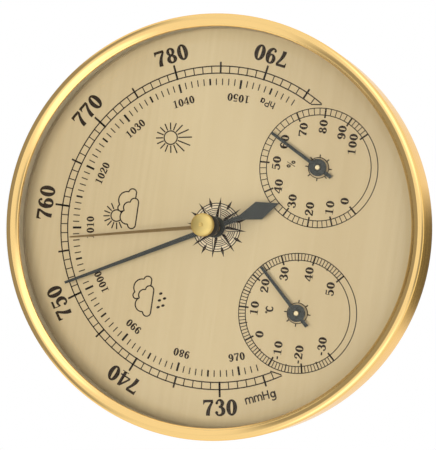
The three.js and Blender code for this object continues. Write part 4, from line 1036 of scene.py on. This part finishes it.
FRONT_LOBES = ((-3.45, 1.25, 1.25), (-1.35, 2.95, 2.2), (1.55, 2.8, 1.7), (3.3, 1.3, 1.3))
REAR_LOBES = ((-3.35, 1.2, 1.2), (-1.85, 4.1, 1.05), (.7, 2.62, 2.63), (3.14, 1.2, 1.24))


def cloud_edge(x, y, lobes):
    """Outer edge of a cloud of round lobes on a flat base, seen from its middle."""
    middle = 1.5
    edge = []
    for dx, dy in circle(0, 0, 1, 1, 120):
        reach = 0.0
        for lx, ly, radius in lobes:
            along = lx * dx + (ly - middle) * dy
            inside = radius ** 2 - lx ** 2 - (ly - middle) ** 2 + along ** 2
            if inside > 0:
                reach = max(reach, along + math.sqrt(inside))
        if dy < 0 and lobes[0][0] < -middle / dy * dx < lobes[-1][0]:
            reach = -middle / dy
        edge.append((x + reach * dx, y + middle + reach * dy))
    return edge


def inside_loop(point, loop):
    x, y = point
    hit = False
    for (ax, ay), (bx, by) in zip(loop, loop[1:] + loop[:1]):
        if (ay > y) != (by > y) and x < (bx - ax) * (y - ay) / (by - ay) + ax:
            hit = not hit
    return hit


def open_runs(loop, hiders):
    """Stretches of a partly covered closed line that no hider covers."""
    def shown(point):
        return not any(inside_loop(point, hider) for hider in hiders)
    start = [shown(point) for point in loop].index(False)
    runs = [list(run) for free, run in groupby(loop[start:] + loop[:start], shown) if free]
    return [run for run in runs if len(run) > 2]


def clouds(x, y):
    front = cloud_edge(x, y, FRONT_LOBES)
    rear = cloud_edge(x + 3.0, y + 1.1, REAR_LOBES)
    lines = [front + front[:1]] + open_runs(rear, [front])
    return [drawn(run, SYMBOL_LINE) for run in lines], front, rear


def symbols():
    rain, _, _ = clouds(-25.05, 16.5)
    mixed, mixed_front, mixed_rear = clouds(.6, 25.2)
    shapes = rain + mixed
    low_sun = circle(*LOW_SUN, 1.75, 1.75, 72)
    shapes += [drawn(run, SYMBOL_LINE) for run in open_runs(low_sun, [mixed_front, mixed_rear])]
    shapes.append(circle_line(*SUN, 2.05, SYMBOL_LINE, 64))
    drop = slab([circle(0, 0, .38, .56, 20)], 0, PRINT)
    for x, y in ((-26.5, 14.4), (-24.4, 14.3), (-22.3, 14.2), (-25.8, 13.0), (-23.6, 12.8)):
        shapes.append(moved(drop, x, y, DIAL_FACE, 24))
    rays = [
        marks(BAR, INK, (*SUN, DIAL_FACE), 16, 13.5, 22.5, 2.4, 4.6, SYMBOL_LINE, swell=2.1),
        marks(BAR, INK, (*LOW_SUN, DIAL_FACE), 9, -121.5, 22.5, 2.15, 4.15, SYMBOL_LINE),
    ]
    return [mesh_of(together(shapes))] + rays


def rose_points():
    """Eight long points of the compass rose and eight short ones across its outer rings."""
    kite = slab([[(0, 0), (.5, .16), (0, 1), (-.5, .16)]], 0, PRINT + .012)
    spike = slab([[(0, 0), (.5, .4), (0, 1), (-.5, .4)]], 0, PRINT + .009)
    return [marks(kite, INK, ON_DIAL, 8, 0, 45, 2.2, ROSE_REACH, 1.7),
            marks(spike, INK, ON_DIAL, 8, 22.5, 45, 5.8, ROSE_REACH, .95)]


def rose_rings():
    rings = [(ROSE_R, .3), (6.6, .24), (5.75, .26), (5.2, .22), (4.65, .22), (4.1, .22)]
    return mesh_of(together(circle_line(0, 0, radius, width) for radius, width in rings))


def rose_highlights():
    """Pale ground between the rings and a pale sliver on one side of each long point."""
    ground = slab([circle(0, 0, ROSE_R, ROSE_R, 128), circle(0, 0, 3.3, 3.3, 128)], 0, PRINT / 2)
    sliver = slab([[(.08, 0), (.5, .14), (.06, 1)]], 0, PRINT + .02)
    return [mesh_of(moved(ground, z=DIAL_FACE)), marks(sliver, PALE_INK, ON_DIAL, 8, 0, 45, 2.6, 7.2, 1.35)]


dark_print = pressure_scale() + thermo_scale() + hygro_scale() + rosette(-SUB_X) + rosette(SUB_X)
dark_print += symbols() + [rose_rings()] + rose_points()
piece("dial_print", dark_print, INK, "case")
piece("rose_highlights", rose_highlights(), PALE_INK, "case")


# Studio

AMBIENT = 0.42  # light of the room on matt faces


def plain(name, colour):
    material, tree = fresh(name)
    speck = grain(tree, 9, detail=2.0)
    skin = wire(tree, "ShaderNodeBsdfPrincipled", {
        "Base Color": between(tree, speck, shaded(colour, .99), shaded(colour, 1.01)), "Roughness": 0.8,
    })
    wire(tree, "ShaderNodeOutputMaterial", {"Surface": skin})
    return material


def floor():
    level, size = -0.46, 4.0
    mesh = bpy.data.meshes.new("floor")
    mesh.from_pydata([(-size, -size, level), (size, -size, level), (size, size, level), (-size, size, level)],
                     [], [(0, 1, 2, 3)])
    mesh.materials.append(plain("pale_floor", tone(244, 244, 243)))
    obj = in_scene("floor", mesh)
    obj.visible_glossy = False
    return obj


def lamp(kind, name, place, energy, **settings):
    """Light aimed at the object and seen only by what it lights."""
    data = bpy.data.lights.new(name, kind)
    data.energy = energy
    for key, value in settings.items():
        setattr(data, key, value)
    obj = in_scene(name, data)
    obj.location = place
    obj.rotation_mode = "QUATERNION"
    obj.rotation_quaternion = (-Vector(place)).to_track_quat("-Z", "Y")
    obj.visible_camera = obj.visible_glossy = obj.visible_transmission = False
    return obj


def ramp(tree, value, start, end):
    """Share from 0 to 1 as a value goes from start to end, which may lie below it."""
    low, high = (start, end) if start < end else (end, start)
    ends = (0.0, 1.0) if start < end else (1.0, 0.0)
    return wire(tree, "ShaderNodeMapRange", {
        "Value": value, "From Min": low, "From Max": high, "To Min": ends[0], "To Max": ends[1],
    })


def white_room():
    """White behind the object; reflections also show two soft boxes below and the gap above."""
    world = bpy.data.worlds.new("white_room")
    bpy.context.scene.world = world
    world.use_nodes = True
    tree = world.node_tree
    tree.nodes.clear()
    path = wire(tree, "ShaderNodeLightPath").outputs
    unscattered = maths(tree, "LESS_THAN", path["Diffuse Depth"], 0.5)
    straight = maths(tree, "ADD", path["Is Camera Ray"], path["Is Transmission Ray"])
    straight = product(tree, maths(tree, "MINIMUM", straight, 1.0), unscattered)
    bounced = maths(tree, "SUBTRACT", 1.0, path["Is Transmission Ray"])
    mirrored = product(tree, path["Is Glossy Ray"], maths(tree, "MAXIMUM", unscattered, bounced))
    direction = wire(tree, "ShaderNodeTexCoord").outputs["Generated"]
    across, away, height = wire(tree, "ShaderNodeSeparateXYZ", {0: direction}).outputs
    aside = maths(tree, "ABSOLUTE", across)
    ahead = ramp(tree, away, -0.05, -0.25)
    overhead = ramp(tree, maths(tree, "MULTIPLY_ADD", aside, -0.85, height), 0.2, 0.36)
    upper = ramp(tree, maths(tree, "MULTIPLY_ADD", aside, -0.3, height), 0.2, 0.36)
    overhead = maths(tree, "MAXIMUM", overhead, product(tree, upper, ahead))
    below = product(tree, ramp(tree, aside, 0.3, 0.15), ramp(tree, height, -0.85, -0.97))
    boxes = product(tree, ramp(tree, aside, 0.25, 0.45), ramp(tree, height, -0.16, -0.36))
    boxes = product(tree, boxes, ramp(tree, away, -0.15, -0.35))
    drop = maths(tree, "ADD", height, 0.125)
    off_axis = maths(tree, "MULTIPLY_ADD", across, across, product(tree, drop, drop))
    behind = product(tree, ramp(tree, off_axis, 0.016, 0.005), ramp(tree, away, 0.0, 0.5))
    dark = maths(tree, "MAXIMUM", overhead, below)
    dark = maths(tree, "MAXIMUM", dark, product(tree, behind, 1.4))
    reflected = maths(tree, "MULTIPLY_ADD", dark, -0.64, maths(tree, "MULTIPLY_ADD", boxes, 0.8, 1.0))
    level = maths(tree, "ADD", AMBIENT, product(tree, straight, 1.0 - AMBIENT))
    change = product(tree, mirrored, maths(tree, "SUBTRACT", reflected, level))
    strength = maths(tree, "ADD", level, change)
    back = wire(tree, "ShaderNodeBackground", {"Color": (1, 1, 1, 1), "Strength": strength})
    wire(tree, "ShaderNodeOutputWorld", {"Surface": back})


def camera():
    """Long lens at the photograph's place, with the dial's top to the left of the picture."""
    swing, tilt, roll = -0.2182716, -0.0401562, 1.4309
    distance, shift_x, shift_y = 0.6771, 0.00036, 0.00073
    facing = (Matrix.Rotation(swing, 3, "Y") @ Matrix.Rotation(tilt, 3, "X") @ Matrix.Rotation(roll, 3, "Z"))
    hung = Matrix.Rotation(math.pi / 2, 3, "X")
    spot = facing.transposed() @ Vector((shift_x, shift_y, distance)) + Vector((0, 0, DIAL_FACE * MM))
    data = bpy.data.cameras.new("photo_view")
    data.sensor_width = 36
    data.lens = 179.0
    obj = in_scene("photo_view", data)
    obj.matrix_world = Matrix.Translation(hung @ spot) @ (hung @ facing.transposed()).to_4x4()
    bpy.context.scene.camera = obj


floor()
lamp("AREA", "key", (-0.2, -1.25, 0.4), 9.7, size=0.6)
lamp("AREA", "fill", (-0.05, -1.35, -0.05), 3.3, size=0.8)
lamp("SUN", "floor_light", (0.0, 0.9, 1.1), 1.6, angle=math.radians(60))
white_room()
camera()
bpy.context.scene.view_settings.view_transform = "Standard"
